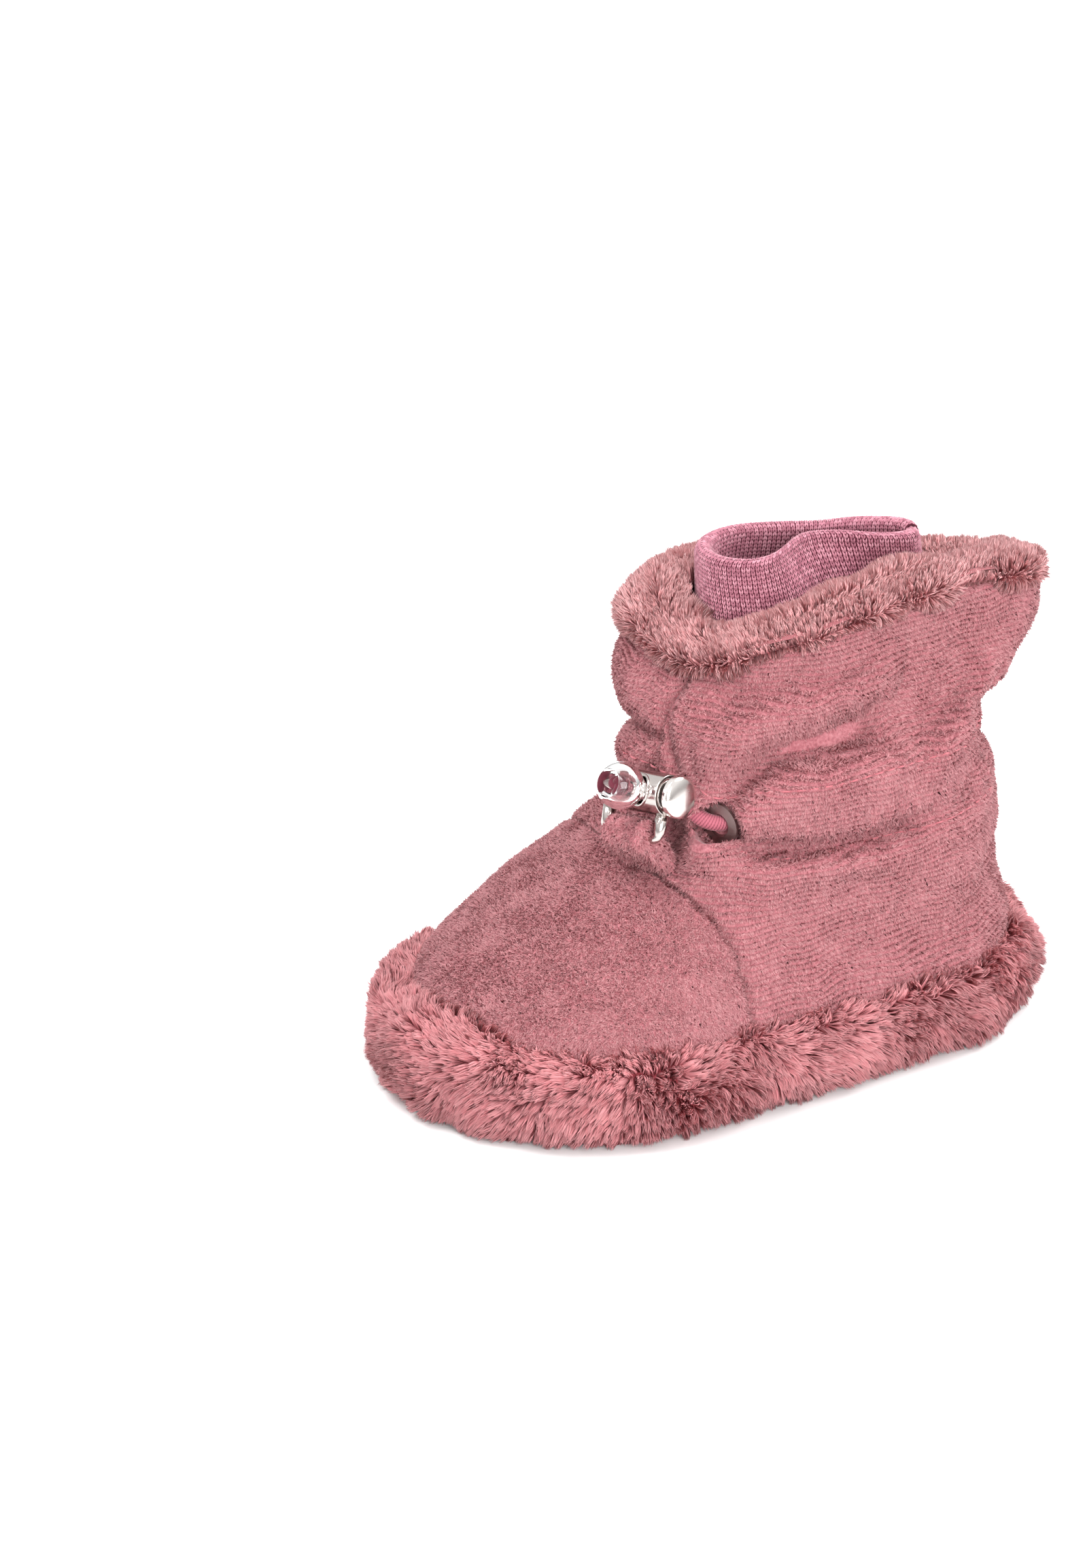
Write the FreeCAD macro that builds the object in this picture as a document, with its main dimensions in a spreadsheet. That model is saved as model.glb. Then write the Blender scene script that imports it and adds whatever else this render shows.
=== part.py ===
import FreeCAD, Part
import math
import os
import Sketcher

# A baby's soft bootie, EU size 17/18. Millimetres, +Z up, toe towards -Y.
# The origin is on the floor under the middle of the bounding box.
# Every soft shell is a loft through level outlines. One outline is the hull of two circles
# (a front one and a back one), drawn at its height and inset by the layers outside it.

doc = FreeCAD.newDocument("baby_bootie")
sheet = doc.addObject("Spreadsheet::Sheet", "Sheet")

# level: height, centre of the front circle (x, y), its radius, distance back to the rear
# circle's centre, its radius, and the turn of the line between them (degrees about Z)
LEVELS = {
    "floor": (0.0, 0, -27.0, 34.0, 52.5, 31.5, 0),
    "bulge": (4.0, 0, -27.0, 38.0, 53.0, 35.0, 0),
    "brim": (10.5, 0, -27.0, 37.5, 53.0, 35.0, 0),
    "brim_top": (14.0, 0, -25.5, 35.5, 51.0, 32.5, 0),
    "last": (7.5, 0, -24.0, 33.5, 49.0, 31.0, 0),
    "foot": (15.0, 0, -24.0, 33.0, 49.0, 30.5, 0),
    "toe": (24.0, -1, -15.0, 30.0, 41.0, 27.5, 0),
    "instep": (34.0, -1, -1.0, 26.5, 28.0, 27.0, 0),
    "hem": (39.0, 0, 5.5, 25.5, 21.0, 25.5, 0),
    "waist": (44.0, 0, 10.5, 25.0, 14.5, 24.0, 0),
    "waist_top": (48.0, 0, 10.5, 25.0, 14.5, 24.0, 0),
    "casing_top": (52.0, -1, 10.0, 24.5, 17.0, 23.5, 0),
    "shaft": (60.0, -5, 9.0, 23.0, 36.0, 14.0, -6),
    "collar_seam": (70.0, -9, 14.0, 23.0, 42.0, 9.5, -12),
    "collar_base": (70.1, -9, 14.0, 24.0, 42.0, 10.0, -12),
    "collar_side": (74.5, -9, 14.0, 24.0, 42.0, 10.0, -12),
    "collar_top": (78.5, -9, 14.0, 20.5, 40.5, 8.0, -12),
    "neck_low": (66.0, -8, 15.0, 13.0, 25.0, 5.0, -6),
    "neck": (70.1, -8, 15.0, 13.2, 25.5, 5.0, -6),
    "neck_mid": (78.5, -9, 14.0, 13.2, 25.0, 4.5, -5),
    "cuff_top": (84.5, -10, 13.6, 11.7, 25.5, 4.0, -3),
}
LEVEL_WORDS = ("height", "centre_x", "centre_y", "front_radius", "span", "back_radius", "turn")

SIZES = {
    # soft layers
    "outsole_thick": 1.4, "midsole_base": 1.5, "midsole_thick": 5.0, "board_base": 6.6,
    "board_thick": 0.8, "insole_thick": 3.0, "layer_gap": 0.1, "shell_thick": 1.6,
    "lining_thick": 2.2, "tunnel_width": 4.2, "casing_thick": 0.7, "jersey_ply": 0.6,
    "jersey_gap": 0.8, "jersey_fold": 0.9, "thread_thick": 0.5, "thread_stand": 0.3,
    "stitch_low": 39.1, "stitch_high": 51.55,
    # vamp seam, seen from the side
    "vamp_back": -13.5, "vamp_arc_base": 24.0, "vamp_arc_radius": 16.6, "vamp_peak": 38.5,
    # drawcord and eyelet
    "cord_radius": 1.4, "cord_height": 46.0,
    "eyelet_angle": 36.2, "eyelet_turn": 20.0, "eyelet_hole": 2.1, "eyelet_tube": 2.5,
    "eyelet_flange_radius": 3.9, "eyelet_flange_thick": 0.6, "eyelet_washer_thick": 0.45,
    # cord lock, in its own frame: X along the barrel, Z up from the loop
    "lock_at_x": 6.1, "lock_at_y": -20.7, "lock_at_z": 51.5,
    "lock_yaw": 15.0, "lock_pitch": -10.0, "lock_roll": -26.0,
    "barrel_radius": 3.65, "barrel_bore": 3.2, "barrel_length": 14.1, "barrel_wall": 0.8,
    "cross_hole_radius": 2.6, "cross_hole_at": 2.4,
    "loop_drop": 7.9, "loop_bar": 1.4, "loop_leg": 1.5, "loop_width": 14.0,
    "plunger_radius": 3.12, "plunger_tail": 0.3, "plunger_hole_radius": 2.3,
    "plunger_hole_at": 3.7, "plunger_gap": 1.5, "neck_radius": 2.5, "neck_length": 1.9,
    "head_radius": 3.75, "head_rim": 0.95, "head_dome": 1.1,
    "spring_radius": 2.3, "spring_wire": 0.22, "spring_turns": 5.0,
    # tab that carries the lock
    "tab_width": 9.6, "tab_outer": 2.6, "tab_tunnel": 1.4, "tab_plate": 3.0, "tab_drop": 11.0,
    "tab_lean": 38.0,
    # cord end
    "cord_axis_at": 3.0, "ball_out": 8.3, "ball_radius": 4.1, "ball_bore": 1.6,
    "ball_mouth": 2.5, "ball_collar": 2.2, "ball_collar_out": 4.3, "knot_radius": 2.15,
    "knot_squash": 1.5,
}

row = 1
for level, numbers in LEVELS.items():
    for word, number in zip(LEVEL_WORDS, numbers):
        sheet.set(f"A{row}", f"{level} {word}")
        sheet.set(f"B{row}", str(number))
        sheet.setAlias(f"B{row}", f"{level}_{word}")
        row += 1
for name, number in SIZES.items():
    sheet.set(f"A{row}", name)
    sheet.set(f"B{row}", str(number))
    sheet.setAlias(f"B{row}", name)
    row += 1
doc.recompute()


def size(alias):
    """The sheet's number behind an alias."""
    return float(sheet.get(alias))


def make(kind, name, placement=None, **sizes):
    """A Part primitive whose sizes are bound to sheet expressions."""
    item = doc.addObject(kind, name)
    for prop, expression in sizes.items():
        item.setExpression(prop, expression)
    if placement:
        item.Placement = placement
    return item


def combine(kind, name, base, tool):
    item = doc.addObject(kind, name)
    item.Base, item.Tool = base, tool
    return item


def cut(name, base, *tools):
    for number, tool in enumerate(tools):
        last = number == len(tools) - 1
        base = combine("Part::Cut", name if last else f"{name}_cut{number}", base, tool)
    return base


def common(name, base, tool):
    return combine("Part::Common", name, base, tool)


def fuse(name, *shapes):
    item = doc.addObject("Part::MultiFuse", name)
    item.Shapes = list(shapes)
    return item


outlines = {}


def outline(level, inset="0"):
    """Sketch of a level's hull of two circles, moved inwards by a sheet expression."""
    key = (level, inset)
    if key in outlines:
        return outlines[key]
    depth = evaluate(inset)
    span = size(f"{level}_span")
    ahead, behind = size(f"{level}_front_radius") - depth, size(f"{level}_back_radius") - depth
    lean = math.asin((ahead - behind) / span)
    sketch = doc.addObject("Sketcher::SketchObject", f"{level}_outline")
    middle, rear = FreeCAD.Vector(0, 0, 0), FreeCAD.Vector(0, span, 0)
    up = FreeCAD.Vector(0, 0, 1)
    sketch.addGeometry([
        Part.ArcOfCircle(Part.Circle(middle, up, ahead), math.pi - lean, 2 * math.pi + lean),
        Part.ArcOfCircle(Part.Circle(rear, up, behind), lean, math.pi - lean),
        Part.LineSegment(
            FreeCAD.Vector(ahead * math.cos(lean), ahead * math.sin(lean), 0),
            FreeCAD.Vector(behind * math.cos(lean), span + behind * math.sin(lean), 0)),
        Part.LineSegment(
            FreeCAD.Vector(-behind * math.cos(lean), span + behind * math.sin(lean), 0),
            FreeCAD.Vector(-ahead * math.cos(lean), ahead * math.sin(lean), 0)),
    ])
    sketch.addConstraint([
        Sketcher.Constraint("Coincident", 0, 3, -1, 1),
        Sketcher.Constraint("PointOnObject", 1, 3, -2),
        Sketcher.Constraint("Tangent", 0, 2, 2, 1),
        Sketcher.Constraint("Tangent", 2, 2, 1, 1),
        Sketcher.Constraint("Tangent", 1, 2, 3, 1),
        Sketcher.Constraint("Tangent", 3, 2, 0, 1),
    ])
    bind = {
        "ahead": (Sketcher.Constraint("Radius", 0, ahead), f"Sheet.{level}_front_radius - ({inset})"),
        "behind": (Sketcher.Constraint("Radius", 1, behind), f"Sheet.{level}_back_radius - ({inset})"),
        "span": (Sketcher.Constraint("DistanceY", 0, 3, 1, 3, span), f"Sheet.{level}_span"),
    }
    for label, (constraint, expression) in bind.items():
        number = sketch.addConstraint(constraint)
        sketch.renameConstraint(number, label)
        sketch.setExpression(f"Constraints.{label}", expression)
    sketch.setExpression("Placement.Base.x", f"Sheet.{level}_centre_x")
    sketch.setExpression("Placement.Base.y", f"Sheet.{level}_centre_y")
    sketch.setExpression("Placement.Rotation.Angle", f"Sheet.{level}_turn * 1 deg")
    sketch.setExpression("Placement.Base.z", f"Sheet.{level}_height")
    outlines[key] = sketch
    return sketch


def evaluate(expression):
    """Number of a sum or difference of sheet aliases and plain numbers."""
    total, sign = 0.0, 1
    for word in expression.split():
        if word in "+-":
            sign = 1 if word == "+" else -1
        else:
            total += sign * (size(word[6:]) if word.startswith("Sheet.") else float(word))
    return total


def loft(name, levels, insets):
    """Ruled solid through outlines; insets is one expression or one for each level."""
    if isinstance(insets, str):
        insets = [insets] * len(levels)
    item = doc.addObject("Part::Loft", name)
    item.Sections = [outline(level, inset) for level, inset in zip(levels, insets)]
    item.Solid, item.Ruled = True, True
    return item


def slab(name, level, inset, base, thickness):
    """Flat pad of a level's outline between two heights."""
    item = doc.addObject("Part::Extrusion", name)
    item.Base = outline(level, inset)
    item.DirMode, item.Dir, item.Solid = "Custom", FreeCAD.Vector(0, 0, 1), True
    item.setExpression("LengthFwd", thickness)
    item.setExpression("Placement.Base.z", f"{base} - Sheet.{level}_height")
    return item


# ---- sole ----
GAP = "Sheet.layer_gap"
outsole_panel = slab("outsole_panel", "last", GAP, "0", "Sheet.outsole_thick")
midsole_foam = slab("midsole_foam", "last", GAP, "Sheet.midsole_base", "Sheet.midsole_thick")
insole_board = slab("insole_board", "last", GAP, "Sheet.board_base", "Sheet.board_thick")
INSIDE = "Sheet.shell_thick + Sheet.layer_gap + Sheet.lining_thick"
insole_plush = slab("insole_plush", "last", INSIDE + " + 0.5",
                    "Sheet.last_height", "Sheet.insole_thick")
band_outside = loft("band_outside", ["floor", "bulge", "brim", "brim_top"], "0")
band_hollow = slab("band_hollow", "last", "0", "-1", "20")
plush_band = cut("plush_band", band_outside, band_hollow)

# ---- fleece upper: one shell, cut along its seams ----
UPPER = ["last", "foot", "toe", "instep", "hem", "waist", "waist_top", "casing_top",
         "shaft", "collar_seam"]
upper_outside = loft("upper_outside", UPPER, "0.02")
upper_inside = loft("upper_inside", UPPER, "Sheet.shell_thick")
upper_shell = cut("upper_shell", upper_outside, upper_inside)

vamp_profile = doc.addObject("Sketcher::SketchObject", "vamp_profile")
vamp_profile.Placement = FreeCAD.Placement(
    FreeCAD.Vector(-60, 0, 0), FreeCAD.Rotation(FreeCAD.Vector(1, 1, 1), 120))
FAR, LOW = -75.0, -1.0
back, arc_base = size("vamp_back"), size("vamp_arc_base")
arc, peak = size("vamp_arc_radius"), size("vamp_peak")
top_angle = math.asin((peak - arc_base) / arc)
arc_top = FreeCAD.Vector(back - arc + arc * math.cos(top_angle), peak, 0)
vamp_profile.addGeometry([
    Part.LineSegment(FreeCAD.Vector(FAR, LOW, 0), FreeCAD.Vector(back, LOW, 0)),
    Part.LineSegment(FreeCAD.Vector(back, LOW, 0), FreeCAD.Vector(back, arc_base, 0)),
    Part.ArcOfCircle(Part.Circle(FreeCAD.Vector(back - arc, arc_base, 0),
                                 FreeCAD.Vector(0, 0, 1), arc), 0, top_angle),
    Part.LineSegment(arc_top, FreeCAD.Vector(FAR, peak, 0)),
    Part.LineSegment(FreeCAD.Vector(FAR, peak, 0), FreeCAD.Vector(FAR, LOW, 0)),
])
vamp_profile.addConstraint([
    Sketcher.Constraint("Horizontal", 0), Sketcher.Constraint("Vertical", 1),
    Sketcher.Constraint("Horizontal", 3), Sketcher.Constraint("Vertical", 4),
    Sketcher.Constraint("Coincident", 0, 2, 1, 1), Sketcher.Constraint("Tangent", 1, 2, 2, 1),
    Sketcher.Constraint("Coincident", 2, 2, 3, 1), Sketcher.Constraint("Coincident", 3, 2, 4, 1),
    Sketcher.Constraint("Coincident", 4, 2, 0, 1),
    Sketcher.Constraint("DistanceX", 0, 1, -1, 1, -FAR),
    Sketcher.Constraint("DistanceY", 0, 1, -1, 1, -LOW),
])
for label, constraint, expression in [
        ("back", Sketcher.Constraint("DistanceX", 1, 1, -1, 1, -back), "-Sheet.vamp_back"),
        ("arc_base", Sketcher.Constraint("DistanceY", -1, 1, 1, 2, arc_base), "Sheet.vamp_arc_base"),
        ("arc", Sketcher.Constraint("Radius", 2, arc), "Sheet.vamp_arc_radius"),
        ("peak", Sketcher.Constraint("DistanceY", -1, 1, 3, 1, peak), "Sheet.vamp_peak")]:
    number = vamp_profile.addConstraint(constraint)
    vamp_profile.renameConstraint(number, label)
    vamp_profile.setExpression(f"Constraints.{label}", expression)
vamp_block = doc.addObject("Part::Extrusion", "vamp_block")
vamp_block.Base = vamp_profile
vamp_block.DirMode, vamp_block.Dir = "Custom", FreeCAD.Vector(1, 0, 0)
vamp_block.LengthFwd, vamp_block.Solid = 120, True

left_half = make("Part::Box", "left_half", FreeCAD.Placement(FreeCAD.Vector(0, -75, -1), FreeCAD.Rotation()),
                 Length="60", Width="150", Height="100")
right_half = make("Part::Box", "right_half", FreeCAD.Placement(FreeCAD.Vector(-60, -75, -1), FreeCAD.Rotation()),
                  Length="60", Width="150", Height="100")
vamp = common("vamp", upper_shell, vamp_block)
quarters = cut("quarters", upper_shell, vamp_block)
quarter_right = common("quarter_right", quarters, right_half)
quarter_left_whole = common("quarter_left_whole", quarters, left_half)

# ---- eyelet: its axis starts on the waist's outside and leans towards the lock ----
waist_centre = FreeCAD.Vector(0, size("waist_centre_y"), size("cord_height"))
angle = math.radians(size("eyelet_angle"))
eyelet_spot = waist_centre + FreeCAD.Vector(math.sin(angle), -math.cos(angle), 0) * size("waist_front_radius")
eyelet_turn = FreeCAD.Rotation(FreeCAD.Vector(0, 0, 1), size("eyelet_turn"))
outwards = FreeCAD.Rotation(FreeCAD.Vector(1, 0, 0), 90)
eyelet_frame = FreeCAD.Placement(eyelet_spot, eyelet_turn.multiply(outwards))


def on_eyelet(along):
    """Placement on the eyelet's axis, 'along' millimetres outwards from the fleece."""
    return eyelet_frame.multiply(FreeCAD.Placement(FreeCAD.Vector(0, 0, along), FreeCAD.Rotation()))


eyelet_seat = make("Part::Cylinder", "eyelet_seat", on_eyelet(0.1),
                   Radius="Sheet.eyelet_flange_radius + 0.2", Height="6")
eyelet_cut = make("Part::Cylinder", "eyelet_cut", on_eyelet(-6),
                  Radius="Sheet.eyelet_tube + 0.05", Height="8")
washer_seat = make("Part::Cylinder", "washer_seat", on_eyelet(-4.2),
                   Radius="Sheet.eyelet_flange_radius + 0.2", Height="2.3")
quarter_left = cut("quarter_left", quarter_left_whole, eyelet_seat, eyelet_cut, washer_seat)
flange_disc = make("Part::Cylinder", "flange_disc", on_eyelet(0.15),
                   Radius="Sheet.eyelet_flange_radius", Height="Sheet.eyelet_flange_thick")
flange_tube = make("Part::Cylinder", "flange_tube", on_eyelet(-2.6),
                   Radius="Sheet.eyelet_tube", Height="2.8")
flange_bore = make("Part::Cylinder", "flange_bore", on_eyelet(-5), Radius="Sheet.eyelet_hole", Height="10")
eyelet_flange = cut("eyelet_flange", fuse("flange_blank", flange_disc, flange_tube), flange_bore)
washer_disc = make("Part::Cylinder", "washer_disc", on_eyelet(-2.5),
                   Radius="Sheet.eyelet_flange_radius", Height="Sheet.eyelet_washer_thick")
washer_bore = make("Part::Cylinder", "washer_bore", on_eyelet(-5), Radius="Sheet.eyelet_tube + 0.05", Height="10")
eyelet_washer = cut("eyelet_washer", washer_disc, washer_bore)

# ---- drawcord casing and linings ----
TUNNEL = "Sheet.shell_thick + Sheet.tunnel_width"
CASING = ["hem", "waist", "waist_top", "casing_top"]
casing_ring = cut("casing_ring", loft("casing_outside", CASING, TUNNEL),
                  loft("casing_inside", CASING, TUNNEL + " + Sheet.casing_thick"))
drawcord_casing = common("drawcord_casing", casing_ring,
                         make("Part::Box", "casing_band",
                              FreeCAD.Placement(FreeCAD.Vector(-60, -75, 39.5), FreeCAD.Rotation()),
                              Length="120", Width="150", Height="12"))
WIDE = "Sheet.shell_thick + Sheet.layer_gap"
NARROW = TUNNEL + " + Sheet.casing_thick + Sheet.layer_gap"
lining_wraps = [WIDE, WIDE, WIDE, WIDE, NARROW, NARROW, NARROW, NARROW, WIDE, WIDE]
lining_shell = cut("lining_shell", loft("lining_outside", UPPER, lining_wraps),
                   loft("lining_inside", UPPER, [wrap + " + Sheet.lining_thick" for wrap in lining_wraps]))
vamp_lining = common("vamp_lining", lining_shell, vamp_block)
shaft_lining = cut("shaft_lining", lining_shell, vamp_block)
shaft_lining_left = common("shaft_lining_left", shaft_lining, left_half)
shaft_lining_right = common("shaft_lining_right", shaft_lining, right_half)

# ---- collar and knitted cuff ----
collar_outside = loft("collar_outside", ["collar_base", "collar_side", "collar_top"], "0")
neck_hollow = loft("neck_hollow", ["neck_low", "neck", "neck_mid", "cuff_top"], "-0.1")
plush_collar = cut("plush_collar", collar_outside, neck_hollow)
CUFF = ["neck_low", "neck", "neck_mid", "cuff_top"]
PLY = "Sheet.jersey_ply"
cuff_outside = loft("cuff_outside", CUFF, "0")
cuff_hollow = loft("cuff_hollow", CUFF, f"{PLY} + Sheet.jersey_gap + {PLY}")
cuff_fold_ring = cut("cuff_fold_ring", loft("fold_outside", CUFF, PLY),
                     loft("fold_inside", CUFF, f"{PLY} + Sheet.jersey_gap"))
fold_space = make("Part::Box", "fold_space", FreeCAD.Placement(FreeCAD.Vector(-60, -75, 60), FreeCAD.Rotation()),
                  Length="120", Width="150", Height="Sheet.cuff_top_height - 60 - Sheet.jersey_fold")
knit_cuff = cut("knit_cuff", cuff_outside, cuff_hollow, common("cuff_fold_gap", cuff_fold_ring, fold_space))


# ---- stitching along the casing's edges ----
def thread_ring(name, level, height):
    """Flat thread laid round the outside of a level's outline."""
    outer = slab(f"{name}_outer", level, "0 - Sheet.thread_stand - Sheet.thread_thick",
                 height, "Sheet.thread_thick")
    inner = slab(f"{name}_inner", level, "0 - Sheet.thread_stand", f"{height} - 1", "Sheet.thread_thick + 2")
    return cut(name, outer, inner)


casing_stitch_high = thread_ring("casing_stitch_high", "casing_top", "Sheet.stitch_high")

# ---- cord lock ----
lock_frame = FreeCAD.Placement(
    FreeCAD.Vector(size("lock_at_x"), size("lock_at_y"), size("lock_at_z")),
    FreeCAD.Rotation(size("lock_yaw"), size("lock_pitch"), size("lock_roll")))
ALONG_X = FreeCAD.Rotation(FreeCAD.Vector(0, 1, 0), 90)
FORWARDS = FreeCAD.Rotation(FreeCAD.Vector(1, 0, 0), 90)
STRAIGHT = FreeCAD.Rotation()


def on_lock(at_x, at_y, at_z, turn=STRAIGHT):
    """Placement given in the lock's own frame."""
    return lock_frame.multiply(FreeCAD.Placement(FreeCAD.Vector(at_x, at_y, at_z), turn))


half = size("barrel_length") / 2
drop, bar, leg, loop_half = size("loop_drop"), size("loop_bar"), size("loop_leg"), size("loop_width") / 2
barrel_body = make("Part::Cylinder", "barrel_body", on_lock(-half, 0, 0, ALONG_X),
                   Radius="Sheet.barrel_radius", Height="Sheet.barrel_length")
loop_parts = [
    make("Part::Box", "loop_bar", on_lock(-loop_half, -bar / 2, -drop - bar / 2),
         Length="Sheet.loop_width", Width="Sheet.loop_bar", Height="Sheet.loop_bar")]
for side, at_x in (("closed", -loop_half), ("open", loop_half - leg)):
    loop_parts.append(make(
        "Part::Box", f"loop_leg_{side}", on_lock(at_x, -bar / 2, -drop - bar / 2),
        Length="Sheet.loop_leg", Width="Sheet.loop_bar",
        Height="Sheet.loop_drop + Sheet.loop_bar / 2 - Sheet.barrel_radius + 0.3"))
barrel_bore = make("Part::Cylinder", "barrel_bore", on_lock(-half + size("barrel_wall"), 0, 0, ALONG_X),
                   Radius="Sheet.barrel_bore", Height="Sheet.barrel_length")
cross_hole = make("Part::Cylinder", "cross_hole", on_lock(size("cross_hole_at"), 6, 0, FORWARDS),
                  Radius="Sheet.cross_hole_radius", Height="12")
lock_barrel = cut("lock_barrel", fuse("barrel_blank", barrel_body, *loop_parts), barrel_bore, cross_hole)

rim = half + size("plunger_gap")
tail = size("plunger_tail")
stem = make("Part::Cylinder", "plunger_stem", on_lock(tail, 0, 0, ALONG_X), Radius="Sheet.plunger_radius",
            Height="Sheet.barrel_length / 2 + Sheet.plunger_gap - Sheet.neck_length - Sheet.plunger_tail")
neck = make("Part::Cylinder", "plunger_neck", on_lock(rim - size("neck_length"), 0, 0, ALONG_X),
            Radius="Sheet.neck_radius", Height="Sheet.neck_length + 0.2")
head_rim = make("Part::Cylinder", "head_rim", on_lock(rim, 0, 0, ALONG_X),
                Radius="Sheet.head_radius", Height="Sheet.head_rim + Sheet.head_dome")
dome_radius = (size("head_radius") ** 2 + size("head_dome") ** 2) / (2 * size("head_dome"))
dome = make("Part::Sphere", "head_dome",
            on_lock(rim + size("head_rim") + size("head_dome") - dome_radius, 0, 0),
            Radius="(Sheet.head_radius^2 + Sheet.head_dome^2) / (2 * Sheet.head_dome)")
plunger_hole = make("Part::Cylinder", "plunger_hole", on_lock(size("plunger_hole_at"), 6, 0, FORWARDS),
                    Radius="Sheet.plunger_hole_radius", Height="12")
lock_plunger = cut("lock_plunger",
                   fuse("plunger_blank", stem, neck, common("plunger_head", head_rim, dome)), plunger_hole)

chamber_end = -half + size("barrel_wall") + size("spring_wire") + 0.05
spring_path = make("Part::Helix", "spring_path", on_lock(chamber_end, 0, 0, ALONG_X),
                   Radius="Sheet.spring_radius",
                   Height="Sheet.barrel_length / 2 - Sheet.barrel_wall + Sheet.plunger_tail"
                          " - 2 * Sheet.spring_wire - 0.1",
                   Pitch="(Sheet.barrel_length / 2 - Sheet.barrel_wall + Sheet.plunger_tail"
                         " - 2 * Sheet.spring_wire - 0.1) / Sheet.spring_turns")
spring_section = make("Part::Circle", "spring_section", None, Radius="Sheet.spring_wire")
spring_section.Placement = on_lock(chamber_end, 0, 0, ALONG_X).multiply(
    FreeCAD.Placement(FreeCAD.Vector(size("spring_radius"), 0, 0), FORWARDS))
lock_spring = doc.addObject("Part::Sweep", "lock_spring")
lock_spring.Sections, lock_spring.Spine = [spring_section], (spring_path, [])
lock_spring.Solid, lock_spring.Frenet = True, True

# ---- fabric tab: a strip folded round the loop's bar and sewn into the throat ----
tab_half = size("tab_width") / 2
tab_fold = make("Part::Cylinder", "tab_fold", on_lock(-tab_half, 0, -drop, ALONG_X),
                Radius="Sheet.tab_outer", Height="Sheet.tab_width")
plate_turn = FreeCAD.Rotation(FreeCAD.Vector(1, 0, 0), size("tab_lean") - size("lock_roll"))
tab_plate = make("Part::Box", "tab_plate",
                 on_lock(-tab_half, 0, -drop, plate_turn).multiply(
                     FreeCAD.Placement(FreeCAD.Vector(0, -size("tab_plate") / 2, -size("tab_drop")), STRAIGHT)),
                 Length="Sheet.tab_width", Width="Sheet.tab_plate", Height="Sheet.tab_drop")
tab_tunnel = make("Part::Cylinder", "tab_tunnel", on_lock(-tab_half - 1, 0, -drop, ALONG_X),
                  Radius="Sheet.tab_tunnel", Height="Sheet.tab_width + 2")
tab_blank = fuse("tab_blank", tab_fold, tab_plate)
lock_tab = cut("lock_tab", tab_blank, tab_tunnel, upper_outside)
casing_stitch_low = cut("casing_stitch_low", thread_ring("low_ring", "hem", "Sheet.stitch_low"), tab_blank)

# ---- clear cord end with the knot inside ----
cord_x, out = size("cord_axis_at"), size("ball_out")
ball_sphere = make("Part::Sphere", "ball_sphere", on_lock(cord_x, -out, 0), Radius="Sheet.ball_radius")
ball_collar = make("Part::Cylinder", "ball_collar", on_lock(cord_x, -out + size("ball_collar_out"), 0, FORWARDS),
                   Radius="Sheet.ball_collar", Height="2")
ball_bore = make("Part::Cylinder", "ball_bore", on_lock(cord_x, -out + 6, 0, FORWARDS),
                 Radius="Sheet.ball_bore", Height="6")
ball_chamber = make("Part::Cylinder", "ball_chamber", on_lock(cord_x, -out + 1, 0, FORWARDS),
                    Radius="Sheet.ball_mouth", Height="8")
cord_end_ball = cut("cord_end_ball", fuse("ball_blank", ball_sphere, ball_collar), ball_bore, ball_chamber)
cord_knot = make("Part::Ellipsoid", "cord_knot", on_lock(cord_x, -out - 0.75, 0, FORWARDS),
                 Radius1="Sheet.knot_squash", Radius2="Sheet.knot_radius", Radius3="Sheet.knot_radius")

# ---- drawcord: sewn in beside the front seam, once round the ankle, out of the eyelet, through the lock ----
level = size("cord_height")
into_lock = on_lock(cord_x, 5.6, 0).Base
CORD_ROUTE = [
    FreeCAD.Vector(-0.4, -10.6, level), FreeCAD.Vector(-5.7, -10.6, level),
    FreeCAD.Vector(-15.4, -5.0, level), FreeCAD.Vector(-21.0, 4.8, level),
    FreeCAD.Vector(-20.1, 33.4, level),
    FreeCAD.Vector(-8.6, 45.2, level), FreeCAD.Vector(8.6, 45.2, level),
    FreeCAD.Vector(20.1, 33.4, level), FreeCAD.Vector(20.9, 2.2, level),
    FreeCAD.Vector(14.9, -5.2, level), FreeCAD.Vector(14.9, -12.2, level + 0.2),
    into_lock, on_lock(cord_x, 0.8 - out, 0).Base,
]


def rounded_route(points, share=0.45):
    """Wire of straight runs joined by tangent arcs, and the arcs' radii."""
    edges, radii, start = [], [], points[0]
    for before, corner, after in zip(points, points[1:], points[2:]):
        towards, away = (before - corner).normalize(), (after - corner).normalize()
        reach = share * min((corner - before).Length, (after - corner).Length)
        half_turn = (math.pi - towards.getAngle(away)) / 2
        radii.append(reach / math.tan(half_turn))
        first, last = corner + towards * reach, corner + away * reach
        inwards = (towards + away).normalize()
        middle = corner + inwards * (radii[-1] / math.cos(half_turn) - radii[-1])
        edges += [Part.makeLine(start, first), Part.Arc(first, middle, last).toShape()]
        start = last
    edges.append(Part.makeLine(start, points[-1]))
    return Part.Wire(edges), radii


cord_wire, cord_radii = rounded_route(CORD_ROUTE)
print("drawcord length", round(cord_wire.Length, 1), "bend radii", [round(radius, 1) for radius in cord_radii])
cord_path = doc.addObject("Part::Feature", "cord_path")
cord_path.Shape = cord_wire
cord_section = make("Part::Circle", "cord_section",
                    FreeCAD.Placement(CORD_ROUTE[0], FreeCAD.Rotation(FreeCAD.Vector(0, 1, 0), 90)),
                    Radius="Sheet.cord_radius")
drawcord = doc.addObject("Part::Sweep", "drawcord")
drawcord.Sections, drawcord.Spine = [cord_section], (cord_path, [])
drawcord.Solid, drawcord.Frenet = True, False

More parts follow.
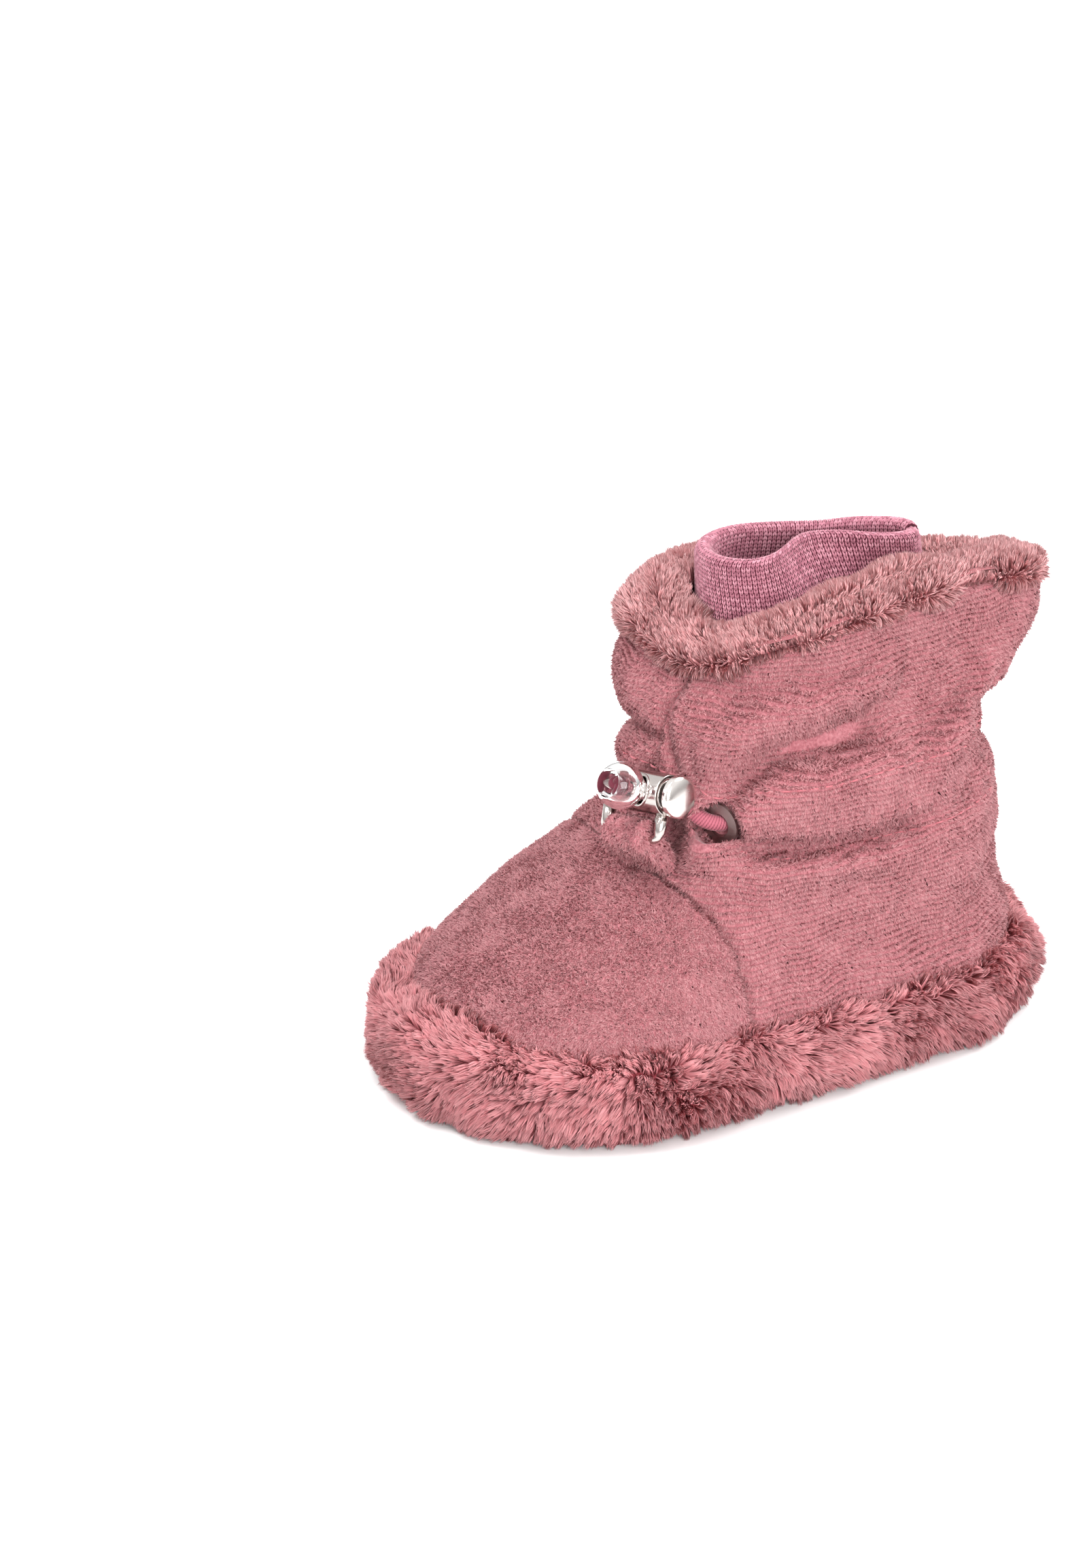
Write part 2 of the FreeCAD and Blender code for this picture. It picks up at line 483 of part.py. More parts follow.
NODES = [
    outsole_panel, midsole_foam, insole_board, insole_plush, plush_band, vamp, quarter_left,
    quarter_right, vamp_lining, shaft_lining_left, shaft_lining_right, drawcord_casing,
    plush_collar, knit_cuff, casing_stitch_low, casing_stitch_high, eyelet_flange, eyelet_washer,
    drawcord, lock_tab, lock_barrel, lock_plunger, lock_spring, cord_end_ball, cord_knot,
]

doc.recompute()
for item in doc.Objects:
    if {"Invalid", "Error"} & set(item.State):
        raise RuntimeError(f"{item.Name} did not recompute: {item.State}")
os.makedirs("parts", exist_ok=True)
for node in NODES:
    if node.Shape.isNull() or not node.Shape.isValid():
        raise RuntimeError(f"{node.Name} has no valid shape")
    node.Label = node.Name
    node.Shape.exportStep(f"parts/{node.Name}.step")
    box = node.Shape.optimalBoundingBox()
    print(f"{node.Name:20s} {len(node.Shape.Solids)} solids {node.Shape.Volume:9.1f} mm3  "
          f"x {box.XMin:.1f}..{box.XMax:.1f}  y {box.YMin:.1f}..{box.YMax:.1f}  z {box.ZMin:.1f}..{box.ZMax:.1f}")
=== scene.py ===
import math

import bpy
import numpy as np
from mathutils import Matrix, Vector
from mathutils.kdtree import KDTree


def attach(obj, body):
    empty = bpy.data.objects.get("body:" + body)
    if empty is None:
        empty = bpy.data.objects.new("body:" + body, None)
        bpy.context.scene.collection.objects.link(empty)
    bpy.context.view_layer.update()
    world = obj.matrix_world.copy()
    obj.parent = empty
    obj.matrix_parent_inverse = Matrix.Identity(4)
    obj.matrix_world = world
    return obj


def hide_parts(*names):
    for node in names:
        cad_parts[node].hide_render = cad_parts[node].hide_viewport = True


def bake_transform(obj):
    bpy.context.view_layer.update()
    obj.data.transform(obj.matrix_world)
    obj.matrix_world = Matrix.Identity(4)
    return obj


# A baby's plush bootie. Lengths are in millimetres until a mesh is made; +Z up, toe towards -Y.
# A place on the soft shell is (u, z): u runs from 0 at the front seam to 1 at the back by the
# +X side and to -1 by the other, and z is the height.

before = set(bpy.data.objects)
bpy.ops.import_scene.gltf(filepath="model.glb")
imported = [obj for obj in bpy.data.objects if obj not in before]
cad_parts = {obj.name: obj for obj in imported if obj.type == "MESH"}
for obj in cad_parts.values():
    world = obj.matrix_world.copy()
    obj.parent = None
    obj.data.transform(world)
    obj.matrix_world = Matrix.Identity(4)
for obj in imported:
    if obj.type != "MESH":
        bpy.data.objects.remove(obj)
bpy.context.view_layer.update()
MM = 0.001
TURN = 2 * np.pi


def add_object(name, data):
    thing = bpy.data.objects.new(name, data)
    bpy.context.scene.collection.objects.link(thing)
    return thing


# ---- camera ----
def add_camera():
    azimuth, elevation, distance = math.radians(57), math.radians(25), 0.9
    level = math.cos(elevation)
    back = Vector((math.sin(azimuth) * level, -math.cos(azimuth) * level, math.sin(elevation)))
    eye = Vector((0, 0, 0.040)) + back * distance
    aim = Vector((-0.01876, -0.02545, 0.0440))
    data = bpy.data.cameras.new("camera")
    data.lens, data.sensor_width = 117.6, 36
    camera = add_object("camera", data)
    camera.location = eye
    camera.rotation_euler = (aim - eye).to_track_quat("-Z", "Y").to_euler()
    bpy.context.scene.camera = camera


add_camera()

# ---- cord: part.py's route, the last two points on the cord lock ----
LOCK_AT = Vector((6.1, -20.7, 51.5))
LOCK_LEAN = -26
LOCK_TURN = (Matrix.Rotation(math.radians(15), 3, "Z") @ Matrix.Rotation(math.radians(-10), 3, "Y")
             @ Matrix.Rotation(math.radians(LOCK_LEAN), 3, "X"))
CORD_RADIUS = 1.4


def on_lock(points):
    """Points given in the lock's own frame: X along its barrel, Y back through the boot, Z up."""
    return np.asarray(points, float) @ np.array(LOCK_TURN).T + np.array(LOCK_AT)


CORD_ROUTE = [
    (-0.4, -10.6, 46), (-5.7, -10.6, 46), (-15.4, -5.0, 46), (-21.0, 4.8, 46), (-20.1, 33.4, 46),
    (-8.6, 45.2, 46), (8.6, 45.2, 46), (20.1, 33.4, 46), (20.9, 2.2, 46), (14.9, -5.2, 46),
    (14.9, -12.2, 46.2), tuple(on_lock((3, 5.6, 0))), tuple(on_lock((3, -7.5, 0))),
]


def route_points(route):
    """Points along the smooth line of a route, in mm."""
    curve = bpy.data.curves.new("route", "CURVE")
    curve.dimensions = "3D"
    spline = curve.splines.new("NURBS")
    spline.points.add(len(route) - 1)
    for point, place in zip(spline.points, route):
        point.co = (*place, 1)
    spline.order_u, spline.use_endpoint_u, spline.resolution_u = 3, True, 40
    holder = bpy.data.objects.new("route", curve)
    mesh = bpy.data.meshes.new_from_object(holder)
    line = np.array([v.co for v in mesh.vertices])
    bpy.data.objects.remove(holder)
    bpy.data.meshes.remove(mesh)
    return line


# ---- points and faces ----
def unit(vectors):
    return vectors / np.maximum(np.linalg.norm(vectors, axis=-1, keepdims=True), 1e-9)


def running(line):
    """Length along a line up to each of its points."""
    return np.concatenate([[0], np.cumsum(np.linalg.norm(np.diff(line, axis=0), axis=1))])


def sample(table, along, s):
    """Rows of a table with three columns at lengths s."""
    return np.stack([np.interp(s, along, table[:, k]) for k in range(3)], 1)


def raised(flat, z):
    """Points (x, y) lifted to a height, or each to its own."""
    height = np.broadcast_to(np.asarray(z, float), len(flat))
    return np.concatenate([flat, height[:, None]], 1)


def circle(count):
    return np.linspace(0, TURN, count, endpoint=False)


def grid_faces(rows, columns, wrap=False):
    """Quads of a rows x columns grid of points; wrap joins the last column to the first."""
    last = columns if wrap else columns - 1
    r, c = np.meshgrid(np.arange(rows - 1), np.arange(last), indexing="ij")
    a, b = r * columns + c, r * columns + (c + 1) % columns
    return np.stack([a, b, b + columns, a + columns], -1).reshape(-1, 4)


def solid_faces(rows, columns):
    """Quads that close two stacked grids, outside then inside, into one sheet with thickness."""
    face = grid_faces(rows, columns)
    count = rows * columns
    index = np.arange(count).reshape(rows, columns)
    edge = np.concatenate([index[0], index[1:, -1], index[-1, -2::-1], index[-2:0:-1, 0]])
    following = np.roll(edge, -1)
    rim = np.stack([following, edge, edge + count, following + count], -1)
    return np.concatenate([face, face[:, ::-1] + count, rim])


def grid_normals(grid):
    """Outward normals of a grid whose rows go up and columns go round by +X."""
    return unit(np.cross(np.gradient(grid, axis=1), np.gradient(grid, axis=0))).reshape(-1, 3)


def drape(curves, rows):
    """Smooth grid of points through a stack of curves."""
    c = np.stack([2 * curves[0] - curves[1], *curves, 2 * curves[-1] - curves[-2]])
    t = np.linspace(0, len(curves) - 1, rows)
    k = np.clip(np.floor(t).astype(int), 0, len(curves) - 2)
    f = (t - k)[:, None, None]
    p0, p1, p2, p3 = c[k], c[k + 1], c[k + 2], c[k + 3]
    return 0.5 * (2 * p1 + (p2 - p0) * f + (2 * p0 - 5 * p1 + 4 * p2 - p3) * f ** 2
                  + (3 * p1 - p0 - 3 * p2 + p3) * f ** 3)


def lumps(points, scale, seed):
    """Smooth random numbers about -1..1 at points, with bumps about scale mm across."""
    p = np.asarray(points) / scale + 1000
    cell = np.floor(p).astype(np.int64)
    part = p - cell
    part = part * part * (3 - 2 * part)
    total = 0.0
    for corner in np.ndindex(2, 2, 2):
        c = cell + np.array(corner)
        hashed = ((c[:, 0] * 73856093) ^ (c[:, 1] * 19349663) ^ (c[:, 2] * 83492791)
                  ^ (seed * 2654435761))
        hashed = (hashed ^ (hashed >> 13)) * 1274126177 & 0xFFFFFFFF
        hashed = (hashed ^ (hashed >> 15)) & 0xFFFF
        share = np.prod(np.where(corner, part, 1 - part), axis=1)
        total = total + share * (hashed / 32767.5 - 1)
    return total * 1.6


def near_line(places, line, metric):
    """Distance of each place from a polyline and how far along it (0..1) the nearest point is."""
    best, where = np.full(len(places), 1e9), np.zeros(len(places))
    line = np.asarray(line, float) * metric
    lengths = running(line)
    for start, end, begin in zip(line, line[1:], lengths):
        run = end - start
        t = np.clip(((places * metric - start) @ run) / (run @ run), 0, 1)
        away = np.linalg.norm(places * metric - start - t[:, None] * run, axis=1)
        closer = away < best
        best[closer] = away[closer]
        where[closer] = (begin + t[closer] * np.linalg.norm(run)) / lengths[-1]
    return best, where


def tube(line, radius, around=16, ribs=None):
    """Points, side quads and end triangles of a tube; ribs(s, angle) adds to its radius."""
    line = np.asarray(line, float)
    ahead = unit(np.gradient(line, axis=0))
    side = np.zeros_like(line)
    side[0] = unit(np.cross(ahead[0], (0.3, 0.2, 1.0)))
    for i in range(1, len(line)):
        side[i] = unit(side[i - 1] - ahead[i] * (side[i - 1] @ ahead[i]))
    over = np.cross(ahead, side)
    angle = circle(around)
    radius = np.broadcast_to(np.asarray(radius, float), len(line))[:, None] + np.zeros(around)
    if ribs:
        radius = radius + ribs(running(line)[:, None], angle[None])
    spokes = side[:, None] * np.cos(angle)[:, None] + over[:, None] * np.sin(angle)[:, None]
    points = (line[:, None] + spokes * radius[..., None]).reshape(-1, 3)
    hub, first = np.full(around, len(points)), np.arange(around)
    following, last = (first + 1) % around, (len(line) - 1) * around
    caps = np.concatenate([np.stack([hub, following, first], -1),
                           np.stack([hub + 1, last + first, last + following], -1)])
    points = np.concatenate([points, line[:1], line[-1:]])
    return points, grid_faces(len(line), around, wrap=True), caps


# ---- meshes ----
def build(name, points, faces, material, normals=None, smooth=True, **values):
    """Mesh object of points in mm and triangles or quads; values are per-point numbers."""
    mesh = bpy.data.meshes.new(name)
    mesh.vertices.add(len(points))
    mesh.vertices.foreach_set("co", (np.asarray(points) * MM).astype(np.float32).ravel())
    mesh.loops.add(faces.size)
    mesh.loops.foreach_set("vertex_index", faces.astype(np.int32).ravel())
    mesh.polygons.add(len(faces))
    starts = np.arange(0, faces.size, faces.shape[1], dtype=np.int32)
    mesh.polygons.foreach_set("loop_start", starts)
    mesh.polygons.foreach_set("use_smooth", np.full(len(faces), smooth))
    mesh.update(calc_edges=True)
    for label, numbers in values.items():
        layer = mesh.attributes.new(label, "FLOAT", "POINT")
        layer.data.foreach_set("value", numbers.astype(np.float32))
    if normals is not None:
        mesh.normals_split_custom_set_from_vertices(normals.astype(np.float32))
    mesh.materials.append(material)
    return add_object(name, mesh)


def place(piece, body, slot, *nodes):
    """Fixes a finished piece to a CAD body and hides the nodes that it stands for; slot is not
    used.
    """
    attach(piece, body)
    if nodes:
        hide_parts(*nodes)
    return piece


def tube_piece(name, line, radius, material, around):
    """Tube as a mesh object, with fans of triangles at its ends."""
    points, faces, caps = tube(line, radius, around)
    mesh = bpy.data.meshes.new(name)
    mesh.from_pydata((points * MM).tolist(), [], faces.tolist() + caps.tolist())
    mesh.shade_smooth()
    mesh.materials.append(material)
    return add_object(name, mesh)


# ---- soft shells ----
# height, centre of the front circle (x, y), its radius, distance back to the rear circle's
# centre, its radius, and the turn of the line between them (degrees about Z)
LEVELS = {
    "bulge": (4.0, 0, -27.0, 38.0, 53.0, 35.0, 0),
    "last": (7.5, 0, -24.0, 33.5, 49.0, 31.0, 0),
    "foot": (15.0, 0, -24.0, 33.0, 49.0, 30.5, 0),
    "toe": (24.0, -1, -15.0, 30.0, 41.0, 27.5, 0),
    "instep": (34.0, -1, -1.0, 26.5, 28.0, 27.0, 0),
    "hem": (39.0, 0, 5.5, 25.5, 21.0, 25.5, 0),
    "waist": (44.0, 0, 10.5, 25.0, 14.5, 24.0, 0),
    "waist_top": (48.0, 0, 10.5, 25.0, 14.5, 24.0, 0),
    "casing_top": (52.0, -1, 10.0, 24.5, 17.0, 23.5, 0),
    "shaft": (60.0, -5, 9.0, 23.0, 36.0, 14.0, -6),
    "collar_seam": (70.0, -9, 14.0, 23.0, 42.0, 9.5, -12),
    "neck_mid": (78.5, -9, 14.0, 13.2, 25.0, 4.5, -5),
    "cuff_low": (66.0, -8.6, 14.8, 12.8, 25.0, 4.6, -8),
    "cuff_rim": (74.0, -9.8, 14.4, 12.0, 25.5, 4.6, -11),
    "cuff_high": (80.0, -11.4, 13.9, 10.6, 25.5, 4.5, -15),
    "cuff_top": (85.0, -12.2, 13.6, 10.0, 25.5, 4.4, -18),
}
UPPER = ["last", "foot", "toe", "instep", "hem", "waist", "waist_top", "casing_top", "shaft",
         "collar_seam"]
CUFF = ["cuff_low", "cuff_rim", "cuff_high", "cuff_top"]
SHELL, LINING, LINING_GAP = 1.6, 2.2, 0.1
FRONT_STEPS, REAR_STEPS = 500, 300


def outline(level, inset, shares):
    """Points round a level's outline, moved inwards by inset, at shares u of the way round."""
    _, middle_x, middle_y, ahead, span, behind, turn = LEVELS[level]
    ahead, behind, turn = ahead - inset, behind - inset, math.radians(turn)
    lean = math.asin((ahead - behind) / span)
    front = np.linspace(math.pi - lean, 2 * math.pi + lean, FRONT_STEPS)
    rear = np.linspace(lean, math.pi - lean, REAR_STEPS)
    x = np.concatenate([ahead * np.cos(front), behind * np.cos(rear)])
    y = np.concatenate([ahead * np.sin(front), span + behind * np.sin(rear)])
    x, y = (middle_x + x * math.cos(turn) - y * math.sin(turn),
            middle_y + x * math.sin(turn) + y * math.cos(turn))
    x, y = np.append(x, x[0]), np.append(y, y[0])
    along = running(np.stack([x, y], 1))
    if level.startswith(("neck", "cuff")):
        # these lie to one side of the seams' plane, so their own axis is where u starts
        first, second = FRONT_STEPS // 2, FRONT_STEPS + REAR_STEPS // 2
        seam, heel = (along[first] + along[first - 1]) / 2, (along[second] + along[second - 1]) / 2
    else:
        at = np.nonzero(np.diff(np.sign(x)))[0]
        seam, heel = (along[at] - np.diff(along)[at] * x[at] / np.diff(x)[at])[:2]
    total = along[-1]
    way = np.where(shares >= 0, seam + shares * (heel - seam),
                   seam + shares * (total - heel + seam)) % total
    return np.stack([np.interp(way, along, x), np.interp(way, along, y)], -1)


class Skin:
    """Smooth surface through level outlines."""

    def __init__(self, levels, inset=0.0, heights=None):
        heights = [LEVELS[level][0] for level in levels] if heights is None else heights
        self.heights = np.array(heights, float)
        self.rings = np.stack([outline(level, inset, np.linspace(-1, 1, 961)) for level in levels])
        slopes = np.diff(self.rings, axis=0) / np.diff(self.heights)[:, None, None]
        low, high = slopes[:-1], slopes[1:]
        both = np.where(low + high == 0, 1, low + high)
        middle = np.where(low * high > 0, 2 * low * high / both, 0)
        self.slopes = np.concatenate([slopes[:1], middle, slopes[-1:]])

    def at(self, u, z):
        k = np.clip(np.searchsorted(self.heights, z, "right") - 1, 0, len(self.heights) - 2)
        step = self.heights[k + 1] - self.heights[k]
        t = (z - self.heights[k]) / step
        j = (np.clip(u, -1, 1) + 1) / 2 * (self.rings.shape[1] - 1)
        first = np.clip(np.floor(j).astype(int), 0, self.rings.shape[1] - 2)
        part = (j - first)[:, None]

        def pick(table, row):
            return table[row, first] * (1 - part) + table[row, first + 1] * part

        t, step = t[:, None], step[:, None]
        flat = (pick(self.rings, k) * (1 + 2 * t) * (1 - t) ** 2
                + pick(self.rings, k + 1) * t * t * (3 - 2 * t)
                + pick(self.slopes, k) * step * t * (1 - t) ** 2
                - pick(self.slopes, k + 1) * step * t * t * (1 - t))
        return raised(flat, z)

    def normal(self, u, z):
        across = self.at(u + 0.003, z) - self.at(u - 0.003, z)
        up = self.at(u, z + 0.15) - self.at(u, z - 0.15)
        return unit(np.cross(across, up))


# the fleece goes on straight up past the collar's seam, under the collar
UPPER_SKIN = Skin(UPPER + ["collar_seam"], heights=[LEVELS[level][0] for level in UPPER] + [82])
HALF_ROUND = 88.0  # mm from the front seam to the back at the ankle
# folds of the fleece: how far it stands out (or in, below 0), half width, and the line it follows
FOLDS = [
    (3.1, 4.6, [(0.10, 56.5), (0.17, 59.5), (0.22, 62), (0.30, 63.8), (0.40, 64.8), (0.52, 65.4)]),
    (-3.5, 3.1, [(0.12, 49.6), (0.16, 50.4), (0.19, 52), (0.215, 54.7), (0.25, 57.3),
                 (0.295, 58.8), (0.355, 59.4), (0.42, 59.3), (0.50, 59.6)]),
    (2.3, 3.4, [(0.17, 46.5), (0.21, 48), (0.25, 50.5), (0.30, 52), (0.38, 53), (0.48, 53),
                (0.60, 52.5)]),
    (-2.3, 1.8, [(0.12, 43.6), (0.15, 43.0), (0.20, 42.2), (0.26, 42.4), (0.33, 42.3),
                 (0.42, 41.7), (0.51, 41.4), (0.59, 42.2), (0.66, 43.5)]),
    (1.5, 2.6, [(0.13, 39.8), (0.16, 39.5), (0.25, 39.2), (0.35, 38.8), (0.48, 37.8), (0.60, 37)]),
    (1.8, 3.0, [(0.81, 62), (0.775, 58.5), (0.72, 55.7), (0.65, 52.5), (0.60, 49.5)]),
    (-2.8, 2.1, [(1.0, 54.5), (0.90, 55.0), (0.80, 55.2), (0.73, 56.8)]),
    (-1.3, 1.9, [(0.98, 49.6), (0.86, 49.2), (0.78, 47.8)]),
    (2.6, 4.2, [(1.0, 43.8), (0.86, 43.8), (0.73, 44.2)]),
    (-1.0, 2.6, [(1.0, 31), (0.87, 30), (0.76, 28)]),
    (-1.3, 1.8, [(0.84, 61), (0.81, 58.8), (0.78, 56.5)]),
    (-0.8, 4.2, [(0.76, 20), (0.69, 19.5), (0.63, 18.6)]),
    (-1.7, 1.3, [(0.0, 69), (0.008, 62), (0.03, 58), (0.05, 55), (0.08, 52.5)]),
    (-2.8, 2.1, [(-0.34, 53.2), (-0.20, 54.2), (-0.08, 56.2), (0.02, 57.5)]),
    (2.2, 3.0, [(-0.26, 49.6), (-0.12, 51.0), (-0.02, 50.6)]),
    (1.4, 5.0, [(-0.30, 63.5), (-0.18, 64.5), (-0.06, 64.5)]),
    (-2.4, 2.4, [(-0.40, 54.5), (-0.55, 53.2), (-0.70, 54.6), (-0.86, 53.6)]),
    (1.6, 3.4, [(-0.36, 60), (-0.50, 59), (-0.68, 60.5)]),
    (-2.0, 2.0, [(-0.14, 42.6), (-0.30, 41.9), (-0.46, 42.2), (-0.64, 41.6), (-0.80, 42.6)]),
    (1.4, 2.8, [(-0.18, 46.8), (-0.36, 47.6), (-0.55, 47.0), (-0.76, 47.8)]),
]
EYELET = np.array([14.76, -9.68, 46.0])
EYELET_TURN = math.radians(16.2)
EYELET_AXIS = np.array([math.sin(EYELET_TURN), -math.cos(EYELET_TURN), 0])
# heights of the plush's edges round the boot, as (u, height)
COLLAR_EDGE = [(-1, 73), (-0.6, 71.5), (-0.34, 71), (-0.16, 70.6), (-0.05, 69.2), (0, 68),
               (0.05, 69.4), (0.10, 71.2), (0.21, 73.8), (0.34, 75.8), (0.5, 76.8), (0.7, 77.2),
               (0.86, 75.8), (1, 73)]
COLLAR_CROWN = [(-1, 76.5), (-0.6, 76.4), (-0.3, 76.4), (-0.15, 76.2), (0, 73.2), (0.08, 73.8),
                (0.2, 77.8), (0.3, 79.6), (0.5, 81.8), (0.65, 81.4), (0.8, 79.4), (0.9, 78),
                (1, 76.5)]
COLLAR_INSIDE = [(-1, 72.5), (-0.6, 74), (-0.35, 76), (-0.12, 76.4), (0, 73.6), (0.06, 70.5),
                 (0.15, 71), (0.3, 75), (0.6, 77), (0.85, 75), (1, 72.5)]
BAND_EDGE = [(-1, 13.8), (-0.8, 12.5), (-0.3, 12.5), (-0.13, 14.4), (-0.04, 16.2), (0, 16.6),
             (0.13, 16), (0.3, 15.0), (0.48, 14.5), (0.6, 13.6), (0.8, 13.8), (1, 13.8)]
TUCK = 0.8  # the fleece goes this far up under the collar


def along_u(u, stops):
    """Heights round the boot through the stops, with their corners smoothed."""
    at, height = zip(*stops)
    fine, window = np.linspace(-1, 1, 401), np.hanning(25)
    padded = np.pad(np.interp(fine, at, height), 12, "edge")
    return np.interp(u, fine, np.convolve(padded, window / window.sum(), "valid"))


def vamp_edge(z):
    """How far back the vamp reaches at a height, seen from the side."""
    arc = np.sqrt(np.maximum(16.6 ** 2 - (z - 24) ** 2, 0))
    return np.where(z <= 24, -13.5, -30.1 + arc)


def relief(u, z):
    """How far the fleece stands out of its plain outline."""
    places = np.stack([u, z], 1)
    metric = np.array([HALF_ROUND, 1.0])
    out = np.zeros(len(u))
    for height, width, line in FOLDS:
        away, along = near_line(places, line, metric)
        fade = np.clip(np.minimum(along, 1 - along) * 5, 0, 1) ** 0.7
        out += height * np.exp(-(away / width) ** 2) * fade
    pitch, depth = 2.7, 0.22
    gathers = np.cos(u * HALF_ROUND / pitch * TURN + 2 * np.sin(u * 19))
    return out + depth * gathers * np.exp(-((z - 44.5) / 3.0) ** 2)


def upper(u, z):
    """Points on the fleece's outside, and the outward normals of the plain outline."""
    u, z = np.asarray(u, float), np.asarray(z, float)
    normal = UPPER_SKIN.normal(u, z)
    point = UPPER_SKIN.at(u, z)
    fade = (np.clip((along_u(u, COLLAR_EDGE) + 1 - z) / 5, 0, 1) * np.clip((z - 12) / 8, 0, 1))
    out = (relief(u, z) + 0.35 * lumps(point, 9, 3)) * fade
    # the eyelet sits in a shallow pocket, and the fleece puffs over the rim of it
    towards = point - EYELET
    away = np.linalg.norm(np.cross(towards, EYELET_AXIS), axis=1)
    towards -= (towards @ EYELET_AXIS)[:, None] * EYELET_AXIS
    near = (point[:, 0] > 4) & (point[:, 1] < 6)
    pocket = np.exp(-(away / 3.6) ** 6) * near
    rim = np.exp(-((away - 6.0) / 1.8) ** 2) * near
    out = (out + 2.8 * rim) * (1 - pocket) - 0.25 * pocket
    pinch = 1.9 * rim * np.clip((away - 4) / 2, 0, 1)
    return point + normal * out[:, None] - unit(towards) * pinch[:, None], normal


# ---- materials ----
class Nodes:
    """Short way to write a material's nodes."""

    def __init__(self, name, **shader):
        self.material = bpy.data.materials.new(name)
        self.material.use_nodes = True
        self.tree = self.material.node_tree
        self.shader = self.tree.nodes["Principled BSDF"]
        for socket, value in shader.items():
            self.shader.inputs[socket.replace("_", " ")].default_value = value

    def feed(self, socket, value):
        """Gives a socket another node's output, a colour or a number."""
        if isinstance(value, bpy.types.NodeSocket):
            self.tree.links.new(value, socket)
        else:
            socket.default_value = (*value, 1) if isinstance(value, tuple) else value

    def add(self, kind, inputs=None, **settings):
        node = self.tree.nodes.new(kind)
        for key, value in settings.items():
            setattr(node, key, value)
        for key, value in (inputs or {}).items():
            self.feed(node.inputs[key], value)
        return node

    def spot(self):
        return self.add("ShaderNodeTexCoord").outputs["Object"]

    def attribute(self, name):
        return self.add("ShaderNodeAttribute", attribute_name=name).outputs["Fac"]

    def noise(self, size, detail=3.0, **more):
        """Noise with features of about size millimetres."""
        inputs = {"Vector": self.spot(), "Scale": 1 / (size * MM), "Detail": detail, **more}
        return self.add("ShaderNodeTexNoise", inputs).outputs["Fac"]

    def ramp(self, factor, *stops):
        """Colour ramp of (position, sRGB colour or linear grey) stops."""
        node = self.add("ShaderNodeValToRGB", {"Fac": factor})
        while len(node.color_ramp.elements) < len(stops):
            node.color_ramp.elements.new(0.5)
        for element, (position, colour) in zip(node.color_ramp.elements, stops):
            element.position = position
            element.color = (*(linear(*colour) if isinstance(colour, tuple) else (colour,) * 3), 1)
        return node.outputs["Color"]

    def mix(self, factor, first, second):
        inputs = {0: factor, 6: first, 7: second}
        return self.add("ShaderNodeMix", inputs, data_type="RGBA").outputs[2]

    def blend(self, operation, first, second):
        inputs = {0: first, 1: second}
        return self.add("ShaderNodeMath", inputs, operation=operation).outputs[0]

    def link(self, value, socket):
        self.tree.links.new(value, self.shader.inputs[socket])
        return self

    def thin(self, share=0.32):
        """Lets light through, so that a thin tuft is as bright from either side."""
        colour = self.shader.inputs["Base Color"].links[0].from_socket
        through = self.add("ShaderNodeBsdfTranslucent", {"Color": colour}).outputs[0]
        both = self.add("ShaderNodeMixShader", {0: share, 1: self.shader.outputs[0], 2: through})
        self.feed(self.tree.nodes["Material Output"].inputs["Surface"], both.outputs[0])
        return self

    def bump(self, height, depth, strength):
        inputs = {"Height": height, "Distance": depth * MM, "Strength": strength}
        return self.link(self.add("ShaderNodeBump", inputs).outputs["Normal"], "Normal")


def linear(*rgb):
    """Linear colour of an sRGB one given in 0..255."""
    return tuple(c / 255 / 12.92 if c <= 10 else ((c / 255 + 0.055) / 1.055) ** 2.4 for c in rgb)


def cloth_shader(name, roughness=0.95, sheen=0.35):
    return Nodes(name, Roughness=roughness, Specular_IOR_Level=0.08, Sheen_Weight=sheen,
                 Sheen_Roughness=0.45, Sheen_Tint=(1.0, 0.86, 0.86, 1.0))


def fleece_material():
    """Short-napped fleece: speckled ground that the pile stands on."""
    n = cloth_shader("fleece")
    fine, broad = n.noise(0.55, 2), n.noise(9, 2)
    speckle = n.ramp(fine, (0.3, (140, 78, 86)), (0.5, (176, 110, 117)), (0.72, (198, 136, 142)))
    patches = n.ramp(broad, (0.35, (166, 100, 107)), (0.65, (184, 118, 124)))
    n.link(n.mix(0.35, speckle, patches), "Base Color")
    return n.bump(fine, 0.35, 0.9).material


def pile_material(name, dark, middle, light, spread):
    """Pile: painted shade at the root, lighter to the tip; spread is how much tufts differ in
    tone.
    """
    n = cloth_shader(name, 0.9, 0.12)
    along = n.blend("MULTIPLY", n.attribute("along"), 1 - spread)
    tone = n.blend("MULTIPLY", n.attribute("tone"), spread)
    # root-to-tip ramp: painted shade deep in the pile, lightening towards the tips
    shade = n.ramp(n.blend("ADD", along, tone), (0.05, dark), (0.45, middle), (0.95, light))
    return n.link(shade, "Base Color").thin().material


def knit_material(name, dark, middle, light):
    n = cloth_shader(name, 0.9, 0.3)
    fuzz = n.noise(0.25, 3)
    tone = n.blend("ADD", n.blend("MULTIPLY", n.attribute("tone"), 0.6),
                   n.blend("MULTIPLY", fuzz, 0.4))
    n.link(n.ramp(tone, (0.15, dark), (0.5, middle), (0.85, light)), "Base Color")
    return n.bump(fuzz, 0.08, 0.8).material


def woven_material(name, dark, light, pitch=0.7):
    """Plain weave over the object's own X and Y."""
    n = cloth_shader(name, 0.9, 0.2)
    inputs = {"Vector": n.spot(), "Scale": 0.314 / (pitch * MM), "Distortion": 0.6,
              "Detail Scale": 900.0}
    weave = n.blend("MULTIPLY", *(n.add("ShaderNodeTexWave", inputs, bands_direction=way)
                                  .outputs["Fac"] for way in "XY"))
    threads = n.ramp(weave, (0.05, dark), (0.6, light))
    n.link(n.mix(n.noise(6), threads, linear(*light)), "Base Color")
    return n.bump(weave, 0.15, 0.8).material


